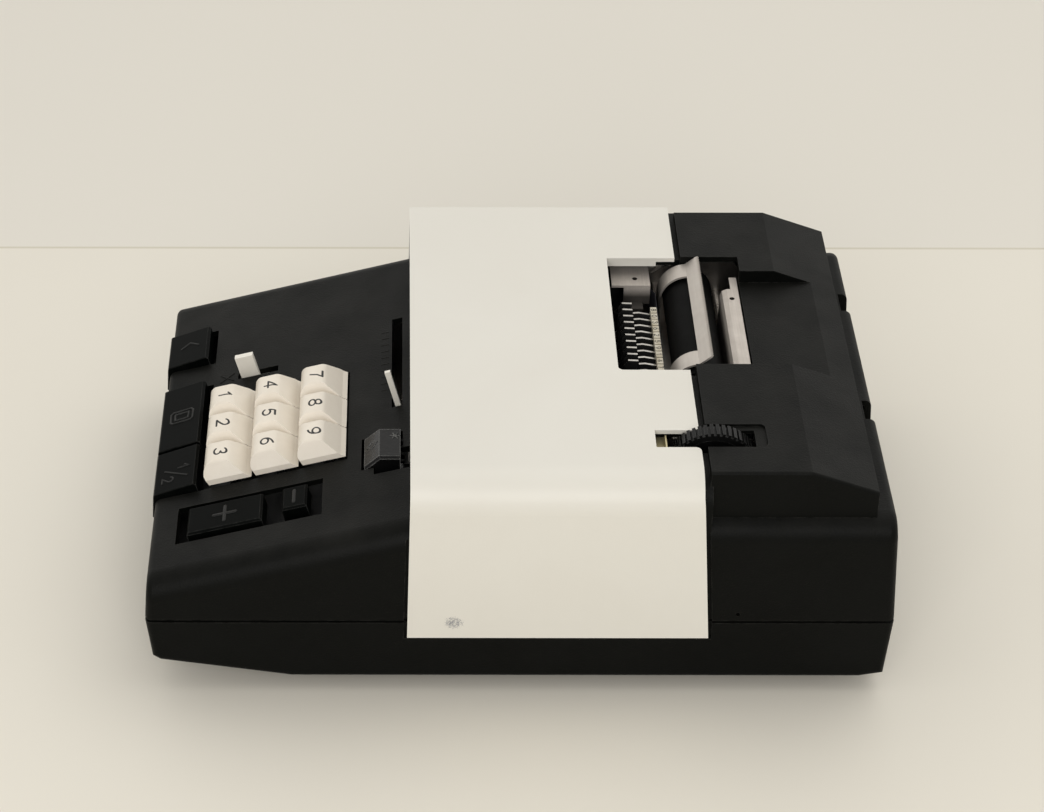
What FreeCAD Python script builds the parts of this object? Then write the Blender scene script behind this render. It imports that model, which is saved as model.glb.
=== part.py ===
import FreeCAD, Part
import math
import os
import re

import Sketcher

# Ten-key printing adding machine: a black moulded case with a pale cover band over its middle.
# X runs to the machine's right, Y to its back and Z up. The origin is on the surface that the
# feet stand on, under the middle of the case. Sizes are millimetres and degrees.

doc = FreeCAD.newDocument("AddingMachine")
sheet = doc.addObject("Spreadsheet::Sheet", "Dims")
pieces = {}


# Driving sizes

# Clearances: pieces fixed together, a shaft that turns and faces that pass each other; and how
# far a cutting tool or a joined root reaches past a face
fitGap = 0.05
runningGap = 0.1
passGap = 0.4
overrun = 1.0

# The case, as seen from the side: Y places and heights
halfWidth = 96.2
frontAtSeam = -142.4
rearAtSeam = 142.5
seamHeight = 35.0
seamGap = 0.6
deckFrontY = -141.2
deckFrontZ = 52.2
deckSlope = 15.0
shoulderZ = 82.0
shoulderRearY = 139.6
humpFrontY = -41.0
humpTopZ = 98.8
humpInset = 1.2
humpRound = 12.4
humpFarRound = 1.0
blockFrontY = 69.2
blockTopZ = 101.9
blockCreaseY = 106.4
blockRearY = 131.9
blockRearZ = 92.6
blockInset = 5.4
blockRoot = 5.0
creaseShift = 0.5
caseWall = 2.5
sideWall = 3.0
caseSide = 4.5
humpChamfer = 9.4
deckRound = 9.0
cornerRound = 3.0
blockRound = 1.2
hollowRoot = 10.0
channelDeep = 10.0

# The base tray
baseBottom = 7.0
baseFrontY = -140.4
baseFrontZ = 17.0
baseLowY = -137.5
baseLowZ = 15.0
baseSlopeY = -87.0
baseRearY = 140.8
baseRearZ = 8.8
baseStepY = 131.5
baseWall = 2.5
baseRound = 2.5
postRadius = 6.0
postStep = 1.0
postInset = 12.2
postFrontY = -116.0
postRearY = 133.5
screwRadius = 1.9
screwHead = 3.6
screwHeadHigh = 2.0
screwSeatZ = 16.0
screwEndZ = 44.0

# The pale cover band
coverWall = 1.8
coverSideGap = 0.3
coverFrontY = -41.6
coverRearY = 66.9
coverFlapRearY = 72.0
coverFlapFrontY = -42.7
coverFlapZ = 27.8
coverRound = 14.0
coverFarRound = 1.4
coverGap = 1.2
windowLeftX = -56.7
windowRightX = 22.9
windowFrontY = 39.1
windowRound = 2.2
flangeDrop = 3.9
flangeRearY = 59.4
wheelNotchLeftX = 62.3
wheelNotchRightX = 73.0
wheelNotchFrontY = 50.2

# Openings in the case top
windowEdgeGap = 1.4
wheelSlotFront = 0.7
topCutOver = 10.0
topCutUnder = 15.0
deckCutOver = 20.0
deckCutUnder = 12.0
frontCutUnder = 8.0
throatRightX = 20.7
throatLeftX = -55.7
throatRearY = 92.4
valleyLeftX = -45.2
valleyFloorZ = 96.3
wheelSlotSide = 1.5
wheelSlotGap = 0.6
wheelSlotRearY = 87.5
wheelRebateSide = 2.1
wheelRebateRearY = 91.8
wheelRebateDeep = 1.0
rearNotchWide = 12.3
rearNotchFirstX = -58.2
rearNotchSecondX = 17.2
rearNotchFrontY = 135.6
rearNotchDeep = 12.0
sideHoleY = 82.7
sideHoleZ = 38.8
sideHoleRadius = 0.8

# Digit keys, measured on the deck: along the slope from its front edge, and out from it
keyPitch = 19.05
keyWide = 18.5
keyFirstX = -5.25
keyFirstU = 30.3
keyFloor = 0.7
keyUndercut = 1.1
keyBelly = 4.7
keySkirt = 3.1
keyHeight = 9.7
keyTopInset = 3.1
keyTopFront = 1.3
keyTopLong = 8.9
keyRearRim = 2.0
keyRearLedge = 1.8
keyRearIn = 0.2
keyFrontRound = 5.5
keyRidgeRound = 5.0
keySideRound = 1.4
keyEdge = 0.8
stemWide = 6.0
stemThick = 3.0
stemEnd = 25.0
keyGap = 0.9

# The three keys along the front edge
frontKeyRise = 2.0
frontKeyStart = 0.6
frontKeyEnd = 17.3
frontKeyLift = 1.6
frontKeyBevel = 1.0
frontKeyDeep = 4.0
frontLipZ = 43.2
frontLipOut = 0.9
frontLipThick = 2.2
frontKeyGap = 0.7
frontKeyRearGap = 2.6
frontNotchZ = 40.4
frontStemU = 9.0
backKeyLeftX = -66.5
backKeyRightX = -43.6
zeroKeyLeftX = -27.0
zeroKeyRightX = 14.6
halfKeyLeftX = 16.4
halfKeyRightX = 42.6

# The two function keys in their recess
functionRise = 1.5
functionLeftX = 55.0
functionWide = 16.4
functionDeep = 5.0
plusFrontU = 14.8
plusLong = 30.0
minusFrontU = 52.5
minusLong = 10.0
minusWide = 13.4
recessLeftX = 52.0
recessRightX = 74.3
recessFrontU = 10.1
recessRearU = 68.4
functionBevel = 0.8

# The total key on its lever
totalLeftX = 33.3
totalRightX = 51.5
totalFrontY = -59.3
totalRidgeY = -53.5
totalRearY = -45.3
totalTopZ = 79.6
totalFrontZ = 74.3
totalBottomZ = 69.6
totalGap = 0.9
totalBevel = 1.0
totalHoleFrontU = 83.6
totalHoleRearU = 100.2
totalSlotRightX = 56.6
totalSlotRearU = 103.6
totalArmLeftX = 46.0
totalArmWide = 4.0
totalArmHalf = 1.5
totalPinOut = 2.0
totalSlotSide = 3.0
totalSlotStart = 5.0
totalSlotOver = 3.0
totalPivotY = -28.0
totalPivotZ = 71.0
totalHub = 4.0
totalPin = 1.8

# The repeat tab and the column pointer, and their slots
tabLeftX = -30.9
tabThick = 2.5
tabFrontU = 31.7
tabWide = 7.5
tabHeight = 9.6
tabSlotGap = 0.7
tabSlotFrontU = 30.2
tabSlotRearU = 47.4
tabFootLong = 14.0
tabFootWide = 7.0
tabFootThick = 1.2
pointerX = 13.6
pointerThick = 1.5
pointerFrontU = 97.1
pointerWide = 2.2
pointerHeight = 16.0
pointerBelow = 27.4
slotLeftX = -46.5
slotRightX = 15.3
slotFrontU = 95.6
slotRearU = 100.0

# The two guide plates under the keys
plateThick = 1.2
upperPlateN = -11.2
lowerPlateN = -20.2
plateLeftX = -76.0
plateRightX = 77.5
plateFrontU = 3.0
plateRearU = 76.0
bossRadius = 3.0
bossInset = 3.5

# The frame that carries the mechanism
frameThick = 1.6
shaftOut = 2.0
leftFrameX = -83.0
rightFrameX = 56.0
frameFootZ = 12.0
frameTopZ = 92.0
frameFrontY = -62.0
frameFrontZ = 62.0
frameStepZ = 72.0
frameRiseY = -36.5
frameRearY = 98.0
frameRearZ = 78.0
frameBackTopY = 88.0
flangeWide = 13.0
flangeLong = 20.0
flangeFirstY = -52.0
flangeSecondY = 44.0
bossHoleDepth = 3.0
rodRadius = 3.0
rodEnd = 2.0
rodEndLong = 0.8
rodFrontY = -57.0
rodFrontZ = 20.0
rodMidY = 8.0
rodMidZ = 24.0
rodTopY = -26.0
rodTopZ = 86.0
rodRearY = 88.4
rodRearZ = 66.0
barBottomZ = 67.0
barTopZ = 72.5
barThick = 5.0

# The column carriage and its pins
railFrontY = -54.0
railRearY = -36.0
railZ = 34.0
carriageLeftX = -26.0
carriageRightX = 22.0
carriageFrontY = -60.0
carriageRearY = -30.0
carriageBottomZ = 28.0
carriageTopZ = 50.0
pinRadius = 0.8
pinBottomZ = 40.0
pinTopZ = 53.0
columnPitch = 4.5
columnCount = 10
pinRowPitch = 2.4
pinRowCount = 5
pinFirstX = -22.5
pinFirstY = -54.0
footLong = 7.0
footWide = 6.0
footHigh = 1.2

# Platen, thumbwheel and paper path
platenY = 72.3
platenZ = 86.8
platenRadius = 10.0
platenLeftX = -55.0
platenRightX = 19.0
shaftRadius = 3.0
wheelRadius = 17.5
wheelLeftX = 63.5
wheelWide = 6.0
wheelRibs = 48
ribDeep = 1.1
wheelHub = 5.5
wheelHubLong = 5.0
wheelDish = 1.5
wheelRim = 3.5
wheelShaftOut = 1.0
bushOuter = 5.0
bushFlange = 6.5
bushFlangeThick = 0.8
ratchetRadius = 6.4
ratchetRoot = 5.2
ratchetWide = 2.0
ratchetTeeth = 20
ratchetLeftX = -79.6
ratchetHub = 4.6
ratchetHubLong = 6.0
pawlAngle = 207.0
pawlPivotReach = 21.6
pawlHub = 3.2
pawlPin = 1.6
pawlThick = 1.6
pawlTipGap = 0.5
pawlTipHalf = 0.4
pawlStudOut = 1.0
pawlArmWide = 3.0
tearWall = 0.8
tearArmLeftX = -55.2
tearArmRightX = 16.3
tearArmWide = 9.2
tearGap = 1.2
tearSlope = 40.0
tearTopY = 71.2
tearTopZ = 98.0
tearLong = 6.4
tearTeeth = 52
tearToothDeep = 1.2
guideWall = 0.8
guideTopZ = 95.5
guideRearY = 91.8
guideBend = 3.0
guideCurveOut = 2.7
guideCurveIn = 0.75
guideCurveDrop = 0.9
guideLeftX = -41.5
guideRightX = 22.0
guideTabLeftX = -50.0
guideTabWide = 3.0
guideHole = 1.0
guideHoleFirstX = -34.5
guideHoleSecondX = 14.5
guideHoleY = 88.8
guideFootZ = 63.0
rollerRadius = 5.0
rollerAngle = -75.0
rollerGap = 0.5
rollerLong = 18.0
rollerShaft = 2.0
rollerFirstX = -46.0
rollerSecondX = -8.0

# Printing works: type sectors, index levers and their shaft
sectorFirstX = -35.4
sectorThick = 1.0
sectorPivotY = 24.0
sectorPivotZ = 58.0
sectorShaft = 3.0
sectorHub = 6.5
neckFront = 3.0
neckUp = 5.0
neckOut = 4.0
plateCrown = 0.2
sectorRearDrop = 0.9
leverRearDrop = 0.2
leverNose = 2.2
leverNoseLong = 1.4
sectorTopZ = 88.4
sectorStartY = 49.1
slugWide = 3.8
slugFrontY = 56.1
slugRearY = 58.6
slugTopZ = 89.7
slugBottomZ = 76.0
leverShift = -2.75
leverTopZ = 91.2
leverFrontY = 43.2
leverRearY = 48.6
leverDeep = 14.0
accumulatorY = 5.0
accumulatorZ = 66.0
accumulatorShaft = 2.5
accumulatorTip = 8.0
accumulatorRoot = 6.2
accumulatorTeeth = 12
accumulatorSleeve = 4.0
accumulatorThick = 2.2

# Ribbon and its spools
bracketZ = 92.0
bracketWall = 1.0
bracketFrontY = 41.2
bracketRearY = 57.0
bracketRightX = -49.3
bracketFlangeZ = 83.0
bracketFlangeY = 46.2
bracketHoleX = -54.4
bracketHoleY = 50.9
bracketTabWide = 5.0
bracketTabLong = 5.0
bracketLugZ = 86.0
spoolRadius = 14.0
spoolCore = 11.5
spoolBottomZ = 77.0
spoolTopZ = 89.5
spoolFlange = 1.0
spoolY = 36.0
leftSpoolX = -66.0
rightSpoolX = 40.0
spoolPin = 1.8
spoolPinOut = 1.0
spoolPlateZ = 75.0
spoolPlateWide = 12.0
ribbonY = 59.0
ribbonThick = 0.3
ribbonBottomZ = 78.6
ribbonTopZ = 87.8
ribbonLeftX = -50.0
ribbonRightX = 22.0

# Drive: motor, pinion, gear, main shaft and cams
mainY = 72.0
mainZ = 38.0
mainRadius = 4.0
gearModule = 1.0
driveTeeth = 48
pinionTeeth = 14
pinionOver = 1.0
toothRise = 0.8
toothDrop = 1.1
driveAngle = 8.35
driveLeftX = 60.0
driveWide = 4.0
driveHub = 9.0
driveWeb = 2.0
driveRim = 4.0
driveShaftOut = 1.0
camRadius = 9.0
camLobe = 7.0
camRise = 6.0
camWide = 3.0
camFirstX = -62.0
camSecondX = 34.0
motorRadius = 22.0
motorLeftX = -40.0
motorRightX = 20.0
motorBoss = 9.0
motorBossLong = 3.0
motorShaft = 2.5
motorBore = 12.0
cradleWide = 10.0
cradleInset = 8.0
cradleHalf = 19.0
cradleTopZ = 30.0

# Mains inlet, feet and the bracket beside the thumbwheel
inletX = -60.0
inletZ = 22.0
inletWide = 22.0
inletHigh = 14.0
inletRearY = 140.9
inletDeep = 16.0
inletWall = 2.0
inletCavity = 11.0
inletPin = 1.6
inletPinPitch = 11.0
inletPinLong = 8.0
inletCollar = 2.0
inletCollarY = 136.2
footRadius = 8.0
footInset = 18.2
footFrontY = -72.0
footRearY = 118.0
footStud = 2.6
footLip = 3.8
footLipHigh = 1.0
wheelPlateZ = 95.4
wheelPlateFrontY = 46.0
wheelPlateRearY = 54.7
wheelPlateWall = 0.6
wheelPlateLug = 11.4
wheelPlateRightX = 74.0
wheelPlateLipZ = 98.2

# Every size above goes into the sheet under its own name
sizes = {name: value for name, value in list(globals().items()) if type(value) in (int, float)}
for row, (name, value) in enumerate(sizes.items(), start=1):
    sheet.set("A%d" % row, name)
    sheet.set("B%d" % row, str(value))
    sheet.setAlias("B%d" % row, name)
doc.recompute()


def size(name):
    """Reads one size back from the sheet."""
    return float(sheet.get(name))


def linked(text):
    """Turns the size names in a formula into references to the sheet's cells."""
    def swap(match):
        word = match.group(0)
        return "Dims." + word if word in sizes else word
    return re.sub(r"[A-Za-z][A-Za-z0-9]*", swap, str(text))


def bind(thing, prop, text):
    thing.setExpression(prop, linked(text))


# Ways to draw and build

turns = {
    "XY": FreeCAD.Rotation(),
    "XZ": FreeCAD.Rotation(FreeCAD.Vector(1, 0, 0), 90),
    "YZ": FreeCAD.Rotation(FreeCAD.Vector(1, 1, 1), 120),
}
offsetAxis = {"XY": "z", "XZ": "y", "YZ": "x"}


def drawLoops(sketch, loops):
    """Draws closed polygons and circles whose places come from formulas."""
    def pin(geometry, point, axis, text, start):
        kind = "DistanceX" if axis == 0 else "DistanceY"
        rule = sketch.addConstraint(Sketcher.Constraint(kind, -1, 1, geometry, point, start))
        sketch.setExpression("Constraints[%d]" % rule, linked(text))

    for loop in loops:
        if loop[0] == "ring":
            circle = Part.Circle(FreeCAD.Vector(5, 5, 0), FreeCAD.Vector(0, 0, 1), 3)
            geometry = sketch.addGeometry(circle)
            pin(geometry, 3, 0, loop[1], 5.0)
            pin(geometry, 3, 1, loop[2], 5.0)
            rule = sketch.addConstraint(Sketcher.Constraint("Radius", geometry, 3.0))
            sketch.setExpression("Constraints[%d]" % rule, linked(loop[3]))
            continue
        count = len(loop)
        corners = []
        for i in range(count):
            angle = 2 * math.pi * i / count
            corners.append(FreeCAD.Vector(20 * math.cos(angle), 20 * math.sin(angle), 0))
        first = sketch.GeometryCount
        for i in range(count):
            sketch.addGeometry(Part.LineSegment(corners[i], corners[(i + 1) % count]))
        for i in range(count):
            nextLine = first + (i + 1) % count
            sketch.addConstraint(Sketcher.Constraint("Coincident", first + i, 2, nextLine, 1))
        for i in range(count):
            pin(first + i, 1, 0, loop[i][0], corners[i].x)
            pin(first + i, 1, 1, loop[i][1], corners[i].y)


def block(x0, x1, y0, y1):
    """The four corners of a rectangle as formulas."""
    return [(x0, y0), (x1, y0), (x1, y1), (x0, y1)]


def ring(x, y, radius):
    return ("ring", x, y, radius)


def freeSketch(name, plane, loops, at):
    sketch = doc.addObject("Sketcher::SketchObject", name)
    sketch.Placement = FreeCAD.Placement(FreeCAD.Vector(), turns[plane])
    bind(sketch, "Placement.Base." + offsetAxis[plane], at)
    drawLoops(sketch, loops)
    return sketch


def prism(name, plane, loops, start, end):
    """A drawn outline pulled from one place to another, square to its plane."""
    drawnAt = end if plane == "XZ" else start
    sketch = freeSketch(name + "_outline", plane, loops, drawnAt)
    solid = doc.addObject("Part::Extrusion", name)
    solid.Base = sketch
    solid.DirMode = "Normal"
    solid.Solid = True
    bind(solid, "LengthFwd", "(%s) - (%s)" % (end, start))
    return solid


def box(name, x0, x1, y0, y1, z0, z1):
    solid = doc.addObject("Part::Box", name)
    bind(solid, "Length", "(%s) - (%s)" % (x1, x0))
    bind(solid, "Width", "(%s) - (%s)" % (y1, y0))
    bind(solid, "Height", "(%s) - (%s)" % (z1, z0))
    bind(solid, "Placement.Base.x", x0)
    bind(solid, "Placement.Base.y", y0)
    bind(solid, "Placement.Base.z", z0)
    return solid


def rod(name, radius, x0, x1, y, z):
    """A round bar along X."""
    solid = doc.addObject("Part::Cylinder", name)
    turn = FreeCAD.Rotation(FreeCAD.Vector(0, 1, 0), 90)
    solid.Placement = FreeCAD.Placement(FreeCAD.Vector(), turn)
    bind(solid, "Radius", radius)
    bind(solid, "Height", "(%s) - (%s)" % (x1, x0))
    bind(solid, "Placement.Base.x", x0)
    bind(solid, "Placement.Base.y", y)
    bind(solid, "Placement.Base.z", z)
    return solid


def post(name, radius, x, y, z0, z1):
    """A round bar along Z."""
    solid = doc.addObject("Part::Cylinder", name)
    bind(solid, "Radius", radius)
    bind(solid, "Height", "(%s) - (%s)" % (z1, z0))
    bind(solid, "Placement.Base.x", x)
    bind(solid, "Placement.Base.y", y)
    bind(solid, "Placement.Base.z", z0)
    return solid


def fuse(name, things):
    joined = doc.addObject("Part::MultiFuse", name)
    joined.Shapes = things
    return joined


def cut(name, base, tools):
    result = doc.addObject("Part::Cut", name)
    result.Base = base
    result.Tool = tools[0] if len(tools) == 1 else fuse(name + "_tools", tools)
    return result


def common(name, first, second):
    result = doc.addObject("Part::Common", name)
    result.Base = first
    result.Tool = second
    return result


def group(name, things):
    """Several separate solids that share one node."""
    several = doc.addObject("Part::Compound", name)
    several.Links = things
    return several


def roundOff(name, base, radius, test):
    """Rounds the edges of a built solid that pass a test."""
    doc.recompute()
    result = doc.addObject("Part::Fillet", name)
    result.Base = base
    chosen = []
    for i, edge in enumerate(base.Shape.Edges):
        if test(edge):
            chosen.append((i + 1, radius, radius))
    result.Edges = chosen
    return result


def bevelOff(name, base, width, test):
    """Cuts a bevel along the edges of a built solid that pass a test."""
    doc.recompute()
    result = doc.addObject("Part::Chamfer", name)
    result.Base = base
    chosen = []
    for i, edge in enumerate(base.Shape.Edges):
        if test(edge):
            chosen.append((i + 1, width, width))
    result.Edges = chosen
    return result


def onDeck(thing):
    """Stands a piece, modelled in deck coordinates, on the sloping deck."""
    turn = FreeCAD.Rotation(FreeCAD.Vector(1, 0, 0), size("deckSlope"))
    thing.Placement = FreeCAD.Placement(FreeCAD.Vector(), turn)
    bind(thing, "Placement.Rotation.Angle", "deckSlope")
    bind(thing, "Placement.Base.y", "deckFrontY")
    bind(thing, "Placement.Base.z", "deckFrontZ")
    return thing


def deckBox(name, x0, x1, u0, u1, n0, n1):
    """A box along the deck's own axes: across, up the slope and out from the deck."""
    solid = box(name, x0, x1, u0, u1, n0, n1)
    turn = FreeCAD.Rotation(FreeCAD.Vector(1, 0, 0), size("deckSlope"))
    solid.Placement = FreeCAD.Placement(FreeCAD.Vector(), turn)
    bind(solid, "Placement.Rotation.Angle", "deckSlope")
    bind(solid, "Placement.Base.y",
         "deckFrontY + (%s) * cos(deckSlope) - (%s) * sin(deckSlope)" % (u0, n0))
    bind(solid, "Placement.Base.z",
         "deckFrontZ + (%s) * sin(deckSlope) + (%s) * cos(deckSlope)" % (u0, n0))
    return solid


def piece(name, thing):
    thing.Label = name
    pieces[name] = thing
    return thing


# Bodies with sketches and features

def newBody(name):
    return doc.addObject("PartDesign::Body", name)


def originPart(body, role):
    for feature in body.Origin.OriginFeatures:
        if feature.Role == role:
            return feature
    raise ValueError("no " + role)


def bodySketch(body, name, plane, loops, at="0"):
    sketch = body.newObject("Sketcher::SketchObject", name)
    sketch.AttachmentSupport = [(originPart(body, plane + "_Plane"), "")]
    sketch.MapMode = "FlatFace"
    bind(sketch, "AttachmentOffset.Base.z", "-(%s)" % at if plane == "XZ" else at)
    drawLoops(sketch, loops)
    return sketch


def pad(body, name, plane, loops, length, at="0", midplane=False):
    sketch = bodySketch(body, name + "_outline", plane, loops, at)
    feature = body.newObject("PartDesign::Pad", name)
    feature.Profile = sketch
    feature.Midplane = midplane
    bind(feature, "Length", length)
    return feature


def pocket(body, name, plane, loops, length, at="0", midplane=False, back=False):
    """Cuts a drawn outline out of the body and checks that it took something away."""
    doc.recompute()
    before = body.Shape.Volume
    sketch = bodySketch(body, name + "_outline", plane, loops, at)
    feature = body.newObject("PartDesign::Pocket", name)
    feature.Profile = sketch
    feature.Midplane = midplane
    feature.Reversed = back
    bind(feature, "Length", length)
    doc.recompute()
    if feature.Shape.isNull() or body.Shape.Volume > before - 0.01:
        raise ValueError(name + " cuts nothing")
    return feature


def soften(body, name, radius, test):
    """Rounds edges of the body picked by a test on each edge."""
    doc.recompute()
    tip = body.Tip
    names = []
    for i, edge in enumerate(tip.Shape.Edges):
        if test(edge):
            names.append("Edge%d" % (i + 1))
    if not names:
        raise ValueError(name + " finds no edge")
    feature = body.newObject("PartDesign::Fillet", name)
    feature.Base = (tip, names)
    bind(feature, "Radius", radius)
    doc.recompute()
    if feature.Shape.isNull():
        raise ValueError(name + " failed")
    return feature


def near(a, b, within=0.05):
    return abs(a - b) < within


def middle(edge):
    return edge.valueAt((edge.FirstParameter + edge.LastParameter) / 2)


def span(edge):
    return edge.Vertexes[-1].Point - edge.Vertexes[0].Point


def alongX(edge):
    return abs(span(edge).x) > 0.98 * max(span(edge).Length, 0.001)


def upright(edge):
    return abs(span(edge).z) > 0.95 * max(span(edge).Length, 0.001)


# Formulas that several pieces share

upperSeam = "(seamHeight + seamGap)"
lowerSeam = "(seamHeight - seamGap)"
innerHalf = "(halfWidth - sideWall)"
floorZ = "(baseBottom + baseWall)"
shoulderFrontY = "(deckFrontY + (shoulderZ - deckFrontZ) / tan(deckSlope))"
humpHalf = "(halfWidth - humpInset)"
blockHalf = "(halfWidth - blockInset)"
postX = "(halfWidth - postInset)"
footX = "(halfWidth - footInset)"
leftInner = "(leftFrameX + frameThick)"
rightOuter = "(rightFrameX + frameThick)"
wheelSlotRightX = "(wheelNotchRightX + wheelSlotSide)"
motorY = "(mainY + gearModule * (driveTeeth + pinionTeeth) / 2 * cos(driveAngle))"
motorZ = "(mainZ + gearModule * (driveTeeth + pinionTeeth) / 2 * sin(driveAngle))"
tearOuter = "(platenRadius + tearGap + tearWall)"
pawlPivotY = "(platenY + pawlPivotReach * cos(pawlAngle))"
pawlPivotZ = "(platenZ + pawlPivotReach * sin(pawlAngle))"
rollerY = "(platenY + (platenRadius + rollerRadius + rollerGap) * cos(rollerAngle))"
rollerZ = "(platenZ + (platenRadius + rollerRadius + rollerGap) * sin(rollerAngle))"
screwPlaces = [(side, y) for side in ("", "-") for y in ("postFrontY", "postRearY")]
footPlaces = [(side, y) for side in ("", "-") for y in ("footFrontY", "footRearY")]
flangeXs = [
    "(leftFrameX + frameThick + flangeWide / 2)",
    "(rightFrameX - flangeWide / 2)",
]
flangeYs = ["(flangeFirstY + flangeLong / 2)", "(flangeSecondY + flangeLong / 2)"]


# Base tray with its screw posts, frame bosses and the cut for the mains inlet

def buildBase():
    body = newBody("base_body")
    pad(body, "base_main", "YZ", [[
        ("frontAtSeam", lowerSeam), ("baseFrontY", "baseFrontZ"), ("baseLowY", "baseLowZ"),
        ("baseSlopeY", "baseBottom"), ("baseStepY", "baseBottom"), ("baseRearY", "baseRearZ"),
        ("rearAtSeam", lowerSeam),
    ]], "2 * halfWidth", midplane=True)
    half = size("halfWidth")

    def isSide(edge):
        return near(abs(middle(edge).x), half) and middle(edge).z < size("seamHeight") - 1

    soften(body, "base_sides", "baseRound", isSide)
    pocket(body, "base_inside", "YZ", [[
        ("frontAtSeam + baseWall", "seamHeight"), ("baseLowY + baseWall", "baseLowZ + baseWall"),
        ("baseSlopeY", floorZ), ("baseRearY - baseWall", floorZ),
        ("rearAtSeam - baseWall", "seamHeight"),
    ]], "2 * " + innerHalf, midplane=True)
    slopeFloor = ("(baseBottom + (baseLowZ - baseBottom) * (baseSlopeY - postFrontY)"
                  " / (baseSlopeY - baseLowY) + baseWall / 2)")
    flatFloor = "(baseBottom + baseWall / 2)"
    for name, y, start in (("front", "postFrontY", slopeFloor), ("rear", "postRearY", flatFloor)):
        pad(body, "base_posts_" + name, "XY", [
            ring(postX, y, "postRadius"), ring("-" + postX, y, "postRadius"),
        ], "%s - %s" % (upperSeam, start), at=start)
    pad(body, "base_bosses", "XY", [
        ring(x, y, "postRadius") for x in flangeXs for y in flangeYs
    ], "frameFootZ - " + flatFloor, at=flatFloor)
    pocket(body, "base_boss_holes", "XY", [
        ring(x, y, "screwRadius + fitGap") for x in flangeXs for y in flangeYs
    ], "bossHoleDepth", at="frameFootZ")
    pocket(body, "base_screw_holes", "XY", [
        ring(side + postX, y, "screwRadius + fitGap") for side, y in screwPlaces
    ], upperSeam + " + overrun", at=upperSeam + " + overrun")
    pocket(body, "base_screw_seats", "XY", [
        ring(side + postX, y, "screwHead + passGap") for side, y in screwPlaces
    ], "screwSeatZ", at="screwSeatZ")
    pocket(body, "base_foot_holes", "XY", [
        ring(side + footX, y, "footStud + fitGap") for side, y in footPlaces
    ], floorZ + " + overrun", at=floorZ + " + overrun")
    for name, start in (("left", "-" + humpHalf + " - channelDeep"), ("right", humpHalf)):
        pocket(body, "base_channel_" + name, "YZ", [block(
            "coverFlapFrontY - coverGap", "coverFlapRearY + coverGap",
            "coverFlapZ - coverGap", "seamHeight",
        )], "channelDeep", at=start, back=True)
    pocket(body, "base_inlet_hole", "XZ", [block(
        "inletX - inletWide / 2 - fitGap", "inletX + inletWide / 2 + fitGap",
        "inletZ - inletHigh / 2 - fitGap", "inletZ + inletHigh / 2 + fitGap",
    )], "inletDeep", at="rearAtSeam + overrun", back=True)
    piece("base_shell", body)


# Upper case: front deck, hump under the cover, rear block and shoulder in one moulding

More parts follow.
